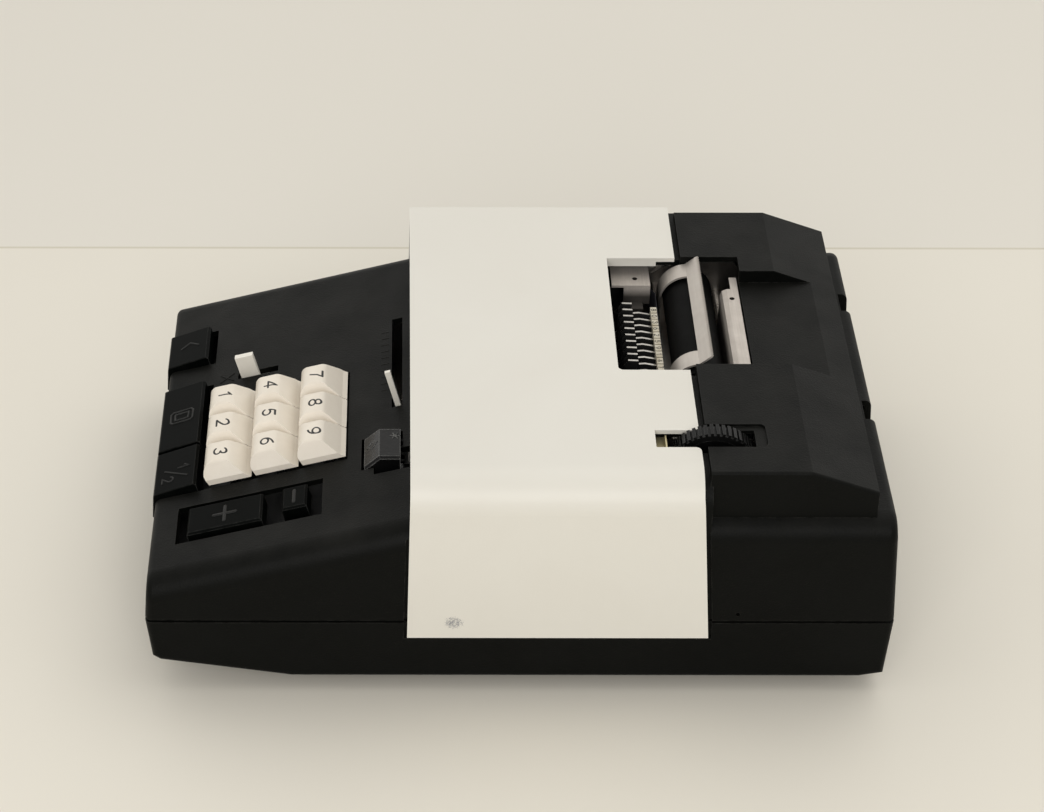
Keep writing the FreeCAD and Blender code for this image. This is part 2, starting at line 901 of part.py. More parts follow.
def buildUpperBody():
    body = newBody("case_body")
    pad(body, "case_main", "YZ", [[
        ("frontAtSeam", upperSeam), ("rearAtSeam", upperSeam), ("shoulderRearY", "shoulderZ"),
        (shoulderFrontY, "shoulderZ"), ("deckFrontY", "deckFrontZ"),
    ]], "2 * halfWidth", midplane=True)
    half = size("halfWidth")
    low = size("seamHeight") + size("seamGap")

    def isTopSide(edge):
        spot = middle(edge)
        return near(abs(spot.x), half) and not upright(edge) and spot.z > low + 1

    soften(body, "case_sides", "deckRound", isTopSide)

    def isCorner(edge):
        return near(abs(middle(edge).x), half) and upright(edge)

    soften(body, "case_corners", "cornerRound", isCorner)
    pad(body, "case_hump", "YZ", [block(
        "humpFrontY", "blockFrontY + overrun", "deckFrontZ", "humpTopZ",
    )], "2 * " + humpHalf, midplane=True)

    humpWide = size("halfWidth") - size("humpInset")

    def isHumpRight(edge):
        spot = middle(edge)
        return near(spot.z, size("humpTopZ")) and near(spot.x, humpWide)

    def isHumpLeft(edge):
        spot = middle(edge)
        return near(spot.z, size("humpTopZ")) and near(spot.x, -humpWide)

    soften(body, "case_hump_right", "humpRound", isHumpRight)
    soften(body, "case_hump_left", "humpFarRound", isHumpLeft)
    pad(body, "case_block", "YZ", [[
        ("blockFrontY", "shoulderZ - blockRoot"), ("blockFrontY", "blockTopZ"),
        ("blockCreaseY", "blockTopZ"), ("blockRearY", "blockRearZ"),
        ("blockRearY", "shoulderZ - blockRoot"),
    ]], "2 * " + blockHalf, midplane=True)

    blockWide = size("halfWidth") - size("blockInset")

    def isBlockTop(edge):
        spot = middle(edge)
        return near(abs(spot.x), blockWide) and not upright(edge) \
            and spot.z > size("blockRearZ") + 0.5

    soften(body, "case_block_edges", "blockRound", isBlockTop)
    for name, start in (("left", "-" + humpHalf + " - channelDeep"), ("right", humpHalf)):
        pocket(body, "case_channel_" + name, "YZ", [[
            ("coverFlapFrontY - coverGap", "seamHeight"),
            ("coverFlapRearY + coverGap", "seamHeight"),
            ("coverRearY + coverGap", "humpTopZ + 2 * overrun"),
            ("coverFrontY - coverGap", "humpTopZ + 2 * overrun"),
        ]], "channelDeep", at=start, back=True)
    pocket(body, "case_inside", "YZ", [[
        ("frontAtSeam + caseWall", "seamHeight"), ("rearAtSeam - caseWall", "seamHeight"),
        ("shoulderRearY - caseWall", "shoulderZ - caseWall"),
        (shoulderFrontY + " + caseWall * tan(deckSlope / 2)", "shoulderZ - caseWall"),
        ("deckFrontY + caseWall",
         "deckFrontZ + caseWall * tan(deckSlope) - caseWall / cos(deckSlope)"),
    ]], "2 * (halfWidth - caseSide)", midplane=True)
    side = "(%s - sideWall)" % humpHalf
    pocket(body, "hump_inside", "XZ", [[
        ("-" + side, "shoulderZ - hollowRoot"), (side, "shoulderZ - hollowRoot"),
        (side, "humpTopZ - caseWall - humpChamfer"),
        (side + " - humpChamfer", "humpTopZ - caseWall"),
        ("-" + side, "humpTopZ - caseWall"),
    ]], "blockFrontY - humpFrontY - 2 * caseWall", at="blockFrontY - caseWall", back=True)
    pocket(body, "block_inside", "YZ", [[
        ("blockFrontY - caseWall - overrun", "shoulderZ - hollowRoot"),
        ("blockFrontY - caseWall - overrun", "humpTopZ - 2 * caseWall"),
        ("blockFrontY + caseWall", "humpTopZ - 2 * caseWall"),
        ("blockFrontY + caseWall", "blockTopZ - caseWall"),
        ("blockCreaseY - creaseShift", "blockTopZ - caseWall"),
        ("blockRearY - caseWall", "blockRearZ - caseWall"),
        ("blockRearY - caseWall", "shoulderZ - hollowRoot"),
    ]], "2 * (%s - caseWall)" % blockHalf, midplane=True)
    # tray under the paper valley
    pad(body, "valley_tray", "YZ", [[
        ("throatRearY", "valleyFloorZ - caseWall"), ("throatRearY", "blockTopZ - caseWall / 2"),
        ("blockCreaseY", "blockTopZ - caseWall / 2"),
        ("blockCreaseY + (blockTopZ - valleyFloorZ) / (blockTopZ - blockRearZ)"
         " * (blockRearY - blockCreaseY) + caseWall", "valleyFloorZ - caseWall"),
    ]], "throatRightX - valleyLeftX + 2 * caseWall", at="valleyLeftX - caseWall")
    pocket(body, "valley", "YZ", [block(
        "throatRearY - overrun", "blockRearY + overrun", "valleyFloorZ", "blockTopZ + overrun",
    )], "throatRightX - valleyLeftX", at="valleyLeftX", back=True)
    # posts that take the case screws from below
    frontTop = "deckFrontZ + (postFrontY - deckFrontY) * tan(deckSlope) - caseWall / 2"
    rearTop = "shoulderZ - caseWall / 2"
    for name, y, top in (("front", "postFrontY", frontTop), ("rear", "postRearY", rearTop)):
        pad(body, "case_posts_" + name, "XY", [
            ring(postX, y, "postRadius - postStep"),
            ring("-" + postX, y, "postRadius - postStep"),
        ], "%s - %s" % (top, upperSeam), at=upperSeam)
    pocket(body, "case_screw_holes", "XY", [
        ring(side + postX, y, "screwRadius + fitGap") for side, y in screwPlaces
    ], "screwEndZ + overrun - " + upperSeam, at="screwEndZ + overrun")
    return body


def buildUpperCase():
    body = buildUpperBody()
    above = "humpTopZ + topCutOver"
    below = "humpTopZ - topCutUnder"
    window = box(
        "case_window", "windowLeftX - windowEdgeGap", "windowRightX + windowEdgeGap",
        "windowFrontY - windowEdgeGap", "blockFrontY", below, above)
    throat = box(
        "case_throat", "throatLeftX", "throatRightX", "blockFrontY - overrun", "throatRearY",
        below, above)
    wheelSlot = box(
        "case_wheel_slot", "wheelNotchLeftX - wheelSlotSide", wheelSlotRightX,
        "wheelNotchFrontY - wheelSlotFront", "blockFrontY", below, above)
    wheelHole = box(
        "case_wheel_hole", "wheelLeftX - wheelSlotGap", wheelSlotRightX,
        "blockFrontY - overrun", "wheelSlotRearY", below, above)
    wheelRebate = box(
        "case_wheel_rebate", "wheelNotchLeftX - wheelRebateSide", wheelSlotRightX,
        "blockFrontY - overrun", "wheelRebateRearY", "blockTopZ - wheelRebateDeep", above)

    def isRebateCorner(edge):
        return upright(edge) and near(middle(edge).y, size("wheelRebateRearY"))

    wheelRebate = roundOff("case_wheel_rebate_round", wheelRebate, size("windowRound"),
                           isRebateCorner)
    tools = [window, throat, wheelSlot, wheelHole, wheelRebate]
    for name, x in (("left", "rearNotchFirstX"), ("right", "rearNotchSecondX")):
        tools.append(box(
            "case_rear_notch_" + name, x, x + " + rearNotchWide", "rearNotchFrontY",
            "rearAtSeam + 2 * overrun", "shoulderZ - rearNotchDeep", "shoulderZ + topCutOver"))
    tools.append(rod("case_side_holes", "sideHoleRadius", "-halfWidth - overrun",
                     "halfWidth + overrun", "sideHoleY", "sideHoleZ"))
    low = "0 - deckCutUnder"
    high = "deckCutOver"
    columns = "(keyFirstX + 2 * keyPitch)"
    rows = "(keyFirstU + 2 * keyPitch)"
    tools.append(deckBox(
        "deck_digits", "keyFirstX - keyWide / 2 - keyGap", columns + " + keyWide / 2 + keyGap",
        "frontKeyEnd", rows + " + keyWide / 2 + keyGap / 2", low, high))
    for name, left, right in (("back", "backKeyLeftX", "backKeyRightX"),
                              ("zero", "zeroKeyLeftX", "halfKeyRightX")):
        tools.append(deckBox(
            "deck_" + name, left + " - frontKeyGap", right + " + frontKeyGap", low,
            "frontKeyEnd + frontKeyRearGap", "0 - frontCutUnder", high))
        tools.append(box(
            "front_" + name, left + " - frontKeyGap", right + " + frontKeyGap",
            "frontAtSeam - frontCutUnder", "deckFrontY + caseWall + overrun", "frontNotchZ",
            "deckFrontZ + topCutOver"))
    tools.append(deckBox("deck_recess", "recessLeftX", "recessRightX", "recessFrontU",
                         "recessRearU", low, high))
    tools.append(deckBox(
        "deck_total", "totalLeftX - totalGap", "totalRightX + totalGap", "totalHoleFrontU",
        "totalHoleRearU", low, high))
    tools.append(deckBox("deck_total_slot", "totalArmLeftX - totalSlotSide", "totalSlotRightX",
                         "totalHoleFrontU + totalSlotStart", "totalSlotRearU", low,
                         "totalSlotOver"))
    tools.append(deckBox(
        "deck_tab_slot", "tabLeftX - tabSlotGap", "tabLeftX + tabThick + tabSlotGap",
        "tabSlotFrontU", "tabSlotRearU", low, high))
    tools.append(deckBox("deck_pointer_slot", "slotLeftX", "slotRightX", "slotFrontU",
                         "slotRearU", low, high))
    shell = cut("case_cut", body, tools)
    bosses = []
    for i, x in enumerate(("plateLeftX + bossInset", "plateRightX - bossInset")):
        for j, u in enumerate(("plateFrontU + bossInset", "plateRearU - bossInset")):
            boss = doc.addObject("Part::Cylinder", "case_boss_%d%d" % (i, j))
            boss.Placement = FreeCAD.Placement(
                FreeCAD.Vector(), FreeCAD.Rotation(FreeCAD.Vector(1, 0, 0), size("deckSlope")))
            n = "(upperPlateN + plateThick)"
            bind(boss, "Radius", "bossRadius")
            bind(boss, "Height", "0 - caseWall / 2 - " + n)
            bind(boss, "Placement.Rotation.Angle", "deckSlope")
            bind(boss, "Placement.Base.x", x)
            bind(boss, "Placement.Base.y",
                 "deckFrontY + (%s) * cos(deckSlope) - %s * sin(deckSlope)" % (u, n))
            bind(boss, "Placement.Base.z",
                 "deckFrontZ + (%s) * sin(deckSlope) + %s * cos(deckSlope)" % (u, n))
            bosses.append(boss)
    piece("upper_casing", fuse("case_whole", [shell] + bosses))


# Pale cover band, bent over the hump, with the paper window and the thumbwheel notch

def buildCover():
    halfIn = "(%s + coverSideGap)" % humpHalf
    halfOut = "(%s + coverWall)" % halfIn
    outer = prism("cover_outer", "YZ", [[
        ("coverFlapFrontY", "coverFlapZ"), ("coverFlapRearY", "coverFlapZ"),
        ("coverRearY", "humpTopZ + coverWall - coverRound / 2"),
        ("coverRearY", "humpTopZ + coverWall"), ("coverFrontY", "humpTopZ + coverWall"),
        ("coverFrontY", "humpTopZ + coverWall - coverRound / 2"),
    ]], "-" + halfOut, halfOut)
    wide = size("halfWidth") - size("humpInset") + size("coverSideGap")

    thick = size("coverWall")

    def isOuterRight(edge):
        spot = middle(edge)
        return near(spot.x, wide + thick) and near(spot.z, size("humpTopZ") + thick)

    def isOuterLeft(edge):
        spot = middle(edge)
        return near(spot.x, -wide - thick) and near(spot.z, size("humpTopZ") + thick)

    outer = roundOff("cover_outer_round", outer, size("coverRound"), isOuterRight)
    outer = roundOff("cover_outer_far_round", outer, size("coverFarRound"), isOuterLeft)
    inner = box("cover_inner", "-" + halfIn, halfIn, "coverFlapFrontY - topCutOver",
                "coverFlapRearY + topCutOver", "coverFlapZ - topCutOver", "humpTopZ")

    def isInnerTop(edge):
        spot = middle(edge)
        return near(spot.x, wide) and near(spot.z, size("humpTopZ"))

    inner = roundOff("cover_inner_round", inner, size("coverRound") - thick, isInnerTop)
    above = "humpTopZ + topCutOver"
    below = "humpTopZ - topCutUnder"
    window = box("cover_window", "windowLeftX", "windowRightX", "windowFrontY",
                 "coverRearY + topCutOver", below, above)

    def isWindowCorner(edge):
        spot = middle(edge)
        return upright(edge) and near(spot.y, size("windowFrontY")) \
            and near(spot.x, size("windowRightX"))

    window = roundOff("cover_window_round", window, size("windowRound"), isWindowCorner)
    notch = box("cover_wheel_notch", "wheelNotchLeftX", "wheelNotchRightX", "wheelNotchFrontY",
                "coverRearY + topCutOver", below, above)
    band = cut("cover_band", outer, [inner, window, notch])

    def isNotchEnd(edge):
        spot = middle(edge)
        onNotch = near(spot.x, size("wheelNotchRightX")) or near(spot.x, size("wheelNotchLeftX"))
        return upright(edge) and near(spot.y, size("coverRearY")) and onNotch

    band = roundOff("cover_band_round", band, size("windowRound"), isNotchEnd)
    flange = box("cover_flange", "windowLeftX - windowEdgeGap + passGap / 2", "windowLeftX",
                 "windowFrontY", "flangeRearY", "humpTopZ + coverWall - flangeDrop",
                 "humpTopZ + coverWall / 2")
    piece("centre_cover", fuse("cover_whole", [band, flange]))


def buildFeetAndScrews():
    feet = []
    for i, (side, y) in enumerate(footPlaces):
        x = side + footX
        feet.append(fuse("foot_%d" % i, [
            post("foot_pad_%d" % i, "footRadius", x, y, "0", "baseBottom"),
            post("foot_stud_%d" % i, "footStud", x, y, "baseBottom - overrun",
                 floorZ + " + footLipHigh"),
            post("foot_lip_%d" % i, "footLip", x, y, floorZ, floorZ + " + footLipHigh"),
        ]))
    piece("rubber_feet", group("feet", feet))
    screws = []
    for i, (side, y) in enumerate(screwPlaces):
        x = side + postX
        screws.append(fuse("case_screw_%d" % i, [
            post("case_screw_head_%d" % i, "screwHead", x, y, "screwSeatZ - screwHeadHigh",
                 "screwSeatZ"),
            post("case_screw_shank_%d" % i, "screwRadius", x, y, "screwSeatZ - overrun",
                 "screwEndZ"),
        ]))
    for i, x in enumerate(flangeXs):
        for j, y in enumerate(flangeYs):
            seat = "(frameFootZ + frameThick)"
            screws.append(fuse("frame_screw_%d%d" % (i, j), [
                post("frame_screw_head_%d%d" % (i, j), "screwHead", x, y, seat,
                     seat + " + screwHeadHigh"),
                post("frame_screw_shank_%d%d" % (i, j), "screwRadius", x, y,
                     "frameFootZ - bossHoleDepth + fitGap", seat + " + overrun"),
            ]))
    piece("screws", group("screw_set", screws))


# Digit keys: a hipped cap with a rounded front and a small flat top, and a stem. The cap is what
# its side outline and its front outline have in common.

def buildDigitKey(name, column, row):
    x = "(keyFirstX + %d * keyPitch)" % column
    u = "(keyFirstU + %d * keyPitch)" % row
    half = "keyWide / 2"
    left, right = x + " - " + half, x + " + " + half
    front, rear = u + " - " + half, u + " + " + half
    side = prism(name + "_side", "YZ", [[
        (front + " + keyUndercut", "keyFloor"), (rear + " - keyRearIn", "keyFloor"),
        (rear + " - keyRearLedge", "keyRearRim"),
        (front + " + keyTopFront + keyTopLong", "keyHeight"),
        (front + " + keyTopFront", "keyHeight"), (front, "keyBelly"),
    ]], left, right)
    across = prism(name + "_across", "XZ", [[
        (left, "keyFloor"), (left, "keySkirt"), (left + " + keyTopInset", "keyHeight"),
        (right + " - keyTopInset", "keyHeight"), (right, "keySkirt"), (right, "keyFloor"),
    ]], front, rear)
    frontPlace = size("keyFirstU") + row * size("keyPitch") - size("keyWide") / 2
    rearPlace = frontPlace + size("keyWide")
    flatStart = frontPlace + size("keyTopFront")
    flatEnd = flatStart + size("keyTopLong")
    rounds = (
        ("front", flatStart, "keyHeight", "keyFrontRound"),
        ("ridge", flatEnd, "keyHeight", "keyRidgeRound"),
        ("belly", frontPlace, "keyBelly", "keyEdge"),
        ("rear", rearPlace - size("keyRearLedge"), "keyRearRim", "keyEdge"),
    )
    for part, place, height, radius in rounds:
        def isHere(edge):
            spot = middle(edge)
            return alongX(edge) and near(spot.y, place) and near(spot.z, size(height))

        side = roundOff("%s_%s_round" % (name, part), side, size(radius), isHere)

    def isAcrossTop(edge):
        return near(middle(edge).z, size("keyHeight")) and not alongX(edge)

    across = roundOff(name + "_across_round", across, size("keySideRound"), isAcrossTop)
    cap = common(name + "_cap", side, across)
    stem = box(name + "_stem", x + " - stemWide / 2", x + " + stemWide / 2",
               u + " - stemThick / 2", u + " + stemThick / 2", "0 - stemEnd", "keySkirt")
    piece(name, onDeck(fuse(name + "_whole", [cap, stem])))


# Front keys: a top that rises to a bevel at its rear, and a lip that wraps over the deck's front
# edge

def buildFrontKey(name, left, right):
    lipY = "(deckFrontY - frontLipOut - (deckFrontZ - frontLipZ)"
    lipY += " * (deckFrontY - frontAtSeam) / (deckFrontZ - seamHeight) - deckFrontY)"
    lipZ = "(frontLipZ - deckFrontZ)"
    lipU = "(%s * cos(deckSlope) + %s * sin(deckSlope))" % (lipY, lipZ)
    lipN = "(%s * cos(deckSlope) - %s * sin(deckSlope))" % (lipZ, lipY)
    rearTop = "(frontKeyRise + frontKeyLift)"
    cap = prism(name + "_cap", "YZ", [[
        ("frontKeyEnd", "0 - frontKeyDeep"), ("frontKeyEnd", rearTop + " - frontKeyBevel"),
        ("frontKeyEnd - frontKeyBevel", rearTop), ("0", "frontKeyRise"),
        ("0 - frontKeyStart", "frontKeyRise - frontKeyStart"), (lipU, lipN),
        (lipU + " + frontLipThick", lipN),
        ("frontLipThick - frontKeyStart", "0 - frontKeyDeep"),
    ]], left, right)
    middleX = "((%s) + (%s)) / 2" % (left, right)
    stem = box(name + "_stem", middleX + " - stemWide / 2", middleX + " + stemWide / 2",
               "frontStemU - stemThick / 2", "frontStemU + stemThick / 2", "0 - stemEnd",
               "0 - frontKeyDeep / 2")

    def isTopEdge(edge):
        spot = middle(edge)
        isBevel = spot.y > size("frontKeyEnd") - size("frontKeyBevel")
        return spot.z > size("frontKeyRise") and not alongX(edge) and not isBevel

    cap = roundOff(name + "_soft", cap, size("keyEdge") / 2, isTopEdge)
    piece(name, onDeck(fuse(name + "_whole", [cap, stem])))


def buildFunctionKey(name, front, long, wide):
    left, right = "functionLeftX", "functionLeftX + " + wide
    cap = box(name + "_cap", left, right, front, "%s + %s" % (front, long),
              "0 - functionDeep", "functionRise")

    def isTop(edge):
        return near(middle(edge).z, size("functionRise"))

    cap = bevelOff(name + "_bevel", cap, size("functionBevel"), isTop)
    x = "(functionLeftX + %s / 2)" % wide
    u = "(%s + %s / 2)" % (front, long)
    stem = box(name + "_stem", x + " - stemWide / 2", x + " + stemWide / 2",
               u + " - stemThick / 2", u + " + stemThick / 2", "0 - stemEnd",
               "0 - functionDeep / 2")
    piece(name, onDeck(fuse(name + "_whole", [cap, stem])))


digitKeys = [
    ("key_%d" % (3 * row + column + 1), column, row) for row in range(3) for column in range(3)
]
frontKeys = [
    ("key_back", "backKeyLeftX", "backKeyRightX"),
    ("key_zero", "zeroKeyLeftX", "zeroKeyRightX"),
    ("key_half", "halfKeyLeftX", "halfKeyRightX"),
]
functionKeys = [
    ("key_plus", "plusFrontU", "plusLong", "functionWide"),
    ("key_minus", "minusFrontU", "minusLong", "minusWide"),
]


def buildTotalKey():
    key = prism("total_cap", "YZ", [[
        ("totalRearY", "totalBottomZ"), ("totalRearY", "totalTopZ"), ("totalRidgeY", "totalTopZ"),
        ("totalFrontY", "totalFrontZ"), ("totalFrontY + totalGap", "totalBottomZ"),
    ]], "totalLeftX", "totalRightX")

    def isNearTop(edge):
        spot = middle(edge)
        return near(spot.x, size("totalRightX")) and spot.z > size("totalFrontZ") + 0.5

    key = bevelOff("total_bevel", key, size("totalBevel"), isNearTop)
    armRight = "totalArmLeftX + totalArmWide"
    arm = prism("total_arm", "YZ", [block(
        "totalRearY - overrun", "totalPivotY", "totalPivotZ - totalArmHalf",
        "totalPivotZ + totalArmHalf",
    )], "totalArmLeftX", armRight)
    hub = rod("total_hub", "totalHub", "totalArmLeftX", armRight, "totalPivotY", "totalPivotZ")
    bore = rod("total_bore", "totalPin + runningGap", "totalArmLeftX - overrun",
               armRight + " + overrun", "totalPivotY", "totalPivotZ")
    piece("key_total", cut("total_whole", fuse("total_solid", [key, arm, hub]), [bore]))
    pin = rod("total_pin", "totalPin", "totalArmLeftX - totalPinOut", "rightFrameX", "totalPivotY",
              "totalPivotZ")
    collar = rod("total_pin_collar", "totalHub", armRight + " + passGap", "rightFrameX",
                 "totalPivotY", "totalPivotZ")
    return [pin, collar]


def buildTabAndPointer():
    tab = fuse("tab_whole", [
        box("tab_blade", "tabLeftX", "tabLeftX + tabThick", "tabFrontU", "tabFrontU + tabWide",
            "0 - caseWall - passGap - tabFootThick", "tabHeight"),
        box("tab_foot", "tabLeftX + tabThick / 2 - tabFootWide / 2",
            "tabLeftX + tabThick / 2 + tabFootWide / 2",
            "tabFrontU + tabWide / 2 - tabFootLong / 2", "tabFrontU + tabWide / 2 + tabFootLong / 2",
            "0 - caseWall - passGap - tabFootThick", "0 - caseWall - passGap"),
    ])
    piece("repeat_tab", onDeck(tab))
    blade = deckBox("pointer_blade", "pointerX - pointerThick / 2", "pointerX + pointerThick / 2",
                    "pointerFrontU", "pointerFrontU + pointerWide", "0 - pointerBelow",
                    "pointerHeight")
    footY = ("(deckFrontY + (pointerFrontU + pointerWide / 2) * cos(deckSlope)"
             " + pointerBelow * sin(deckSlope))")
    foot = box("pointer_foot", "pointerX - footLong / 2", "pointerX + footLong / 2",
               footY + " - footWide / 2", footY + " + footWide / 2", "carriageTopZ",
               "carriageTopZ + footHigh")
    piece("column_pointer", fuse("pointer_whole", [blade, foot]))


# Two pierced plates that guide the key stems

def stemPlaces():
    places = []
    for name, column, row in digitKeys:
        places.append(("(keyFirstX + %d * keyPitch)" % column, "(keyFirstU + %d * keyPitch)" % row))
    for name, left, right in frontKeys:
        places.append(("((%s) + (%s)) / 2" % (left, right), "frontStemU"))
    for name, front, long, wide in functionKeys:
        places.append(("(functionLeftX + %s / 2)" % wide, "(%s + %s / 2)" % (front, long)))
    return places


def buildKeyPlates():
    for name, n in (("key_guide_plate", "upperPlateN"), ("key_comb_plate", "lowerPlateN")):
        loops = [block("plateLeftX", "plateRightX", "plateFrontU", "plateRearU")]
        for x, u in stemPlaces():
            loops.append(block(
                x + " - stemWide / 2 - passGap", x + " + stemWide / 2 + passGap",
                u + " - stemThick / 2 - passGap", u + " + stemThick / 2 + passGap"))
        plate = prism(name + "_sheet", "XY", loops, n, n + " + plateThick")
        if name == "key_guide_plate":
            spacers = []
            for i, x in enumerate(("plateLeftX + bossInset", "plateRightX - bossInset")):
                for j, u in enumerate(("plateFrontU + bossInset", "plateRearU - bossInset")):
                    spacers.append(post("key_spacer_%d%d" % (i, j), "bossRadius", x, u,
                                        "lowerPlateN + plateThick", "upperPlateN + plateThick / 2"))
            plate = fuse(name + "_whole", [plate] + spacers)
        piece(name, onDeck(plate))


# Side frames of sheet steel with bent feet, and the rods between them

rodPlaces = [
    ("rodFrontY", "rodFrontZ"), ("rodMidY", "rodMidZ"), ("rodTopY", "rodTopZ"),
    ("rodRearY", "rodRearZ"),
]
railPlaces = [("railFrontY", "railZ"), ("railRearY", "railZ")]
barPlace = ("platenY - %s + tearWall + barThick / 2" % tearOuter, "(barBottomZ + barTopZ) / 2")


def buildFrame(name, x, flangeX, studs):
    sheetEnd = x + " + frameThick"
    plate = prism(name + "_plate", "YZ", [[
        ("frameFrontY", "frameFootZ"), ("frameRearY", "frameFootZ"), ("frameRearY", "frameRearZ"),
        ("frameBackTopY", "frameTopZ"), ("frameRiseY", "frameTopZ"), ("frameRiseY", "frameStepZ"),
        ("frameFrontY", "frameFrontZ"),
    ]], x, sheetEnd)
    feet = []
    for i, y in enumerate(flangeYs):
        feet.append(box("%s_foot_%d" % (name, i), flangeX + " - flangeWide / 2 - frameThick / 2",
                        flangeX + " + flangeWide / 2 + frameThick / 2", y + " - flangeLong / 2",
                        y + " + flangeLong / 2", "frameFootZ", "frameFootZ + frameThick"))
    holes = []
    for i, y in enumerate(flangeYs):
        holes.append(post("%s_foot_hole_%d" % (name, i), "screwRadius + fitGap", flangeX, y,
                          "frameFootZ - overrun", "frameFootZ + frameThick + overrun"))
    rods = rodPlaces + railPlaces + [barPlace, (rollerY, rollerZ)]
    turning = [
        ("mainY", "mainZ", "mainRadius + runningGap"),
        ("platenY", "platenZ", "bushOuter + fitGap"),
        ("sectorPivotY", "sectorPivotZ", "rodEnd + fitGap"),
        ("accumulatorY", "accumulatorZ", "accumulatorShaft + runningGap"),
    ]
    for i, (y, z) in enumerate(rods):
        holes.append(rod("%s_rod_hole_%d" % (name, i), "rodEnd + fitGap", x + " - overrun",
                         sheetEnd + " + overrun", y, z))
    for i, (y, z, radius) in enumerate(turning):
        holes.append(rod("%s_shaft_hole_%d" % (name, i), radius, x + " - overrun",
                         sheetEnd + " + overrun", y, z))
    piece(name, cut(name + "_whole", fuse(name + "_solid", [plate] + feet + studs), holes))


def betweenFrames(name, radius, y, z):
    """A rod between the side frames, with thinner ends riveted through them."""
    return fuse(name, [
        rod(name + "_rod", radius, leftInner, "rightFrameX", y, z),
        rod(name + "_ends", "rodEnd", "leftFrameX - rodEndLong", rightOuter + " + rodEndLong",
            y, z),
    ])


def buildRods():
    rods = [betweenFrames("tie_rod_%d" % i, "rodRadius", y, z)
            for i, (y, z) in enumerate(rodPlaces)]
    piece("tie_rods", group("tie_rod_set", rods))
    rails = [betweenFrames("rail_%d" % i, "rodRadius", y, z) for i, (y, z) in enumerate(railPlaces)]
    piece("carriage_rails", group("rail_set", rails))
    piece("sector_shaft", betweenFrames("sector_axle", "sectorShaft", "sectorPivotY",
                                        "sectorPivotZ"))
    barFront = "platenY - %s + tearWall" % tearOuter
    bar = fuse("cross_bar_whole", [
        box("cross_bar_square", leftInner, "rightFrameX", barFront, barFront + " + barThick",
            "barBottomZ", "barTopZ"),
        rod("cross_bar_ends", "rodEnd", "leftFrameX - rodEndLong", rightOuter + " + rodEndLong",
            barPlace[0], barPlace[1]),
    ])
    piece("cross_bar", bar)


# Pin carriage that steps sideways with each digit, and the pins that the keys set

def buildCarriage():
    bed = box("carriage_block", "carriageLeftX", "carriageRightX", "carriageFrontY",
              "carriageRearY", "carriageBottomZ", "carriageTopZ")
    holes = [
        rod("carriage_rail_hole_%d" % i, "rodRadius + runningGap", "carriageLeftX - overrun",
            "carriageRightX + overrun", y, z)
        for i, (y, z) in enumerate(railPlaces)
    ]
    columns = range(int(size("columnCount")))
    rows = range(int(size("pinRowCount")))
    places = [("pinFirstX + %d * columnPitch" % i, "pinFirstY + %d * pinRowPitch" % j)
              for i in columns for j in rows]
    holes.append(prism("pin_holes", "XY", [
        ring(x, y, "pinRadius + runningGap") for x, y in places
    ], "pinBottomZ - overrun", "carriageTopZ + overrun"))
    piece("pin_carriage", cut("carriage_whole", bed, holes))
    pins = prism("pins", "XY", [ring(x, y, "pinRadius") for x, y in places],
                 "pinBottomZ", "pinTopZ")
    piece("stop_pins", pins)


# Wheels with teeth or ribs: a disc with one gap, repeated round the axis

def toothed(name, tip, root, teeth, x0, wide, gapShare, phase="0", rootShare=0.8):
    """A toothed disc along X about its own axis, with a share of each pitch cut away."""
    body = newBody(name)
    pad(body, name + "_disc", "YZ", [ring("0", "0", tip)], wide, at=x0)
    halfGap = "(%s) * sin(180 / (%s) * %s)" % (tip, teeth, gapShare)
    halfRoot = "(%s) * sin(180 / (%s) * %s)" % (root, teeth, gapShare * rootShare)
    gap = pocket(body, name + "_gap", "YZ", [[
        ("-" + halfRoot, root), (halfRoot, root), (halfGap, "(%s) + overrun" % tip),
        ("-" + halfGap, "(%s) + overrun" % tip),
    ]], wide, at=x0, back=True)
    pattern = body.newObject("PartDesign::PolarPattern", name + "_gaps")
    pattern.Originals = [gap]
    pattern.Axis = (originPart(body, "X_Axis"), [""])
    pattern.Angle = 360
    bind(pattern, "Occurrences", teeth)
    body.Tip = pattern
    doc.recompute()
    body.Placement = FreeCAD.Placement(
        FreeCAD.Vector(), FreeCAD.Rotation(FreeCAD.Vector(1, 0, 0), 0.5))
    bind(body, "Placement.Rotation.Angle", phase)
    return body


def place(body, y, z):
    bind(body, "Placement.Base.y", y)
    bind(body, "Placement.Base.z", z)
    return body


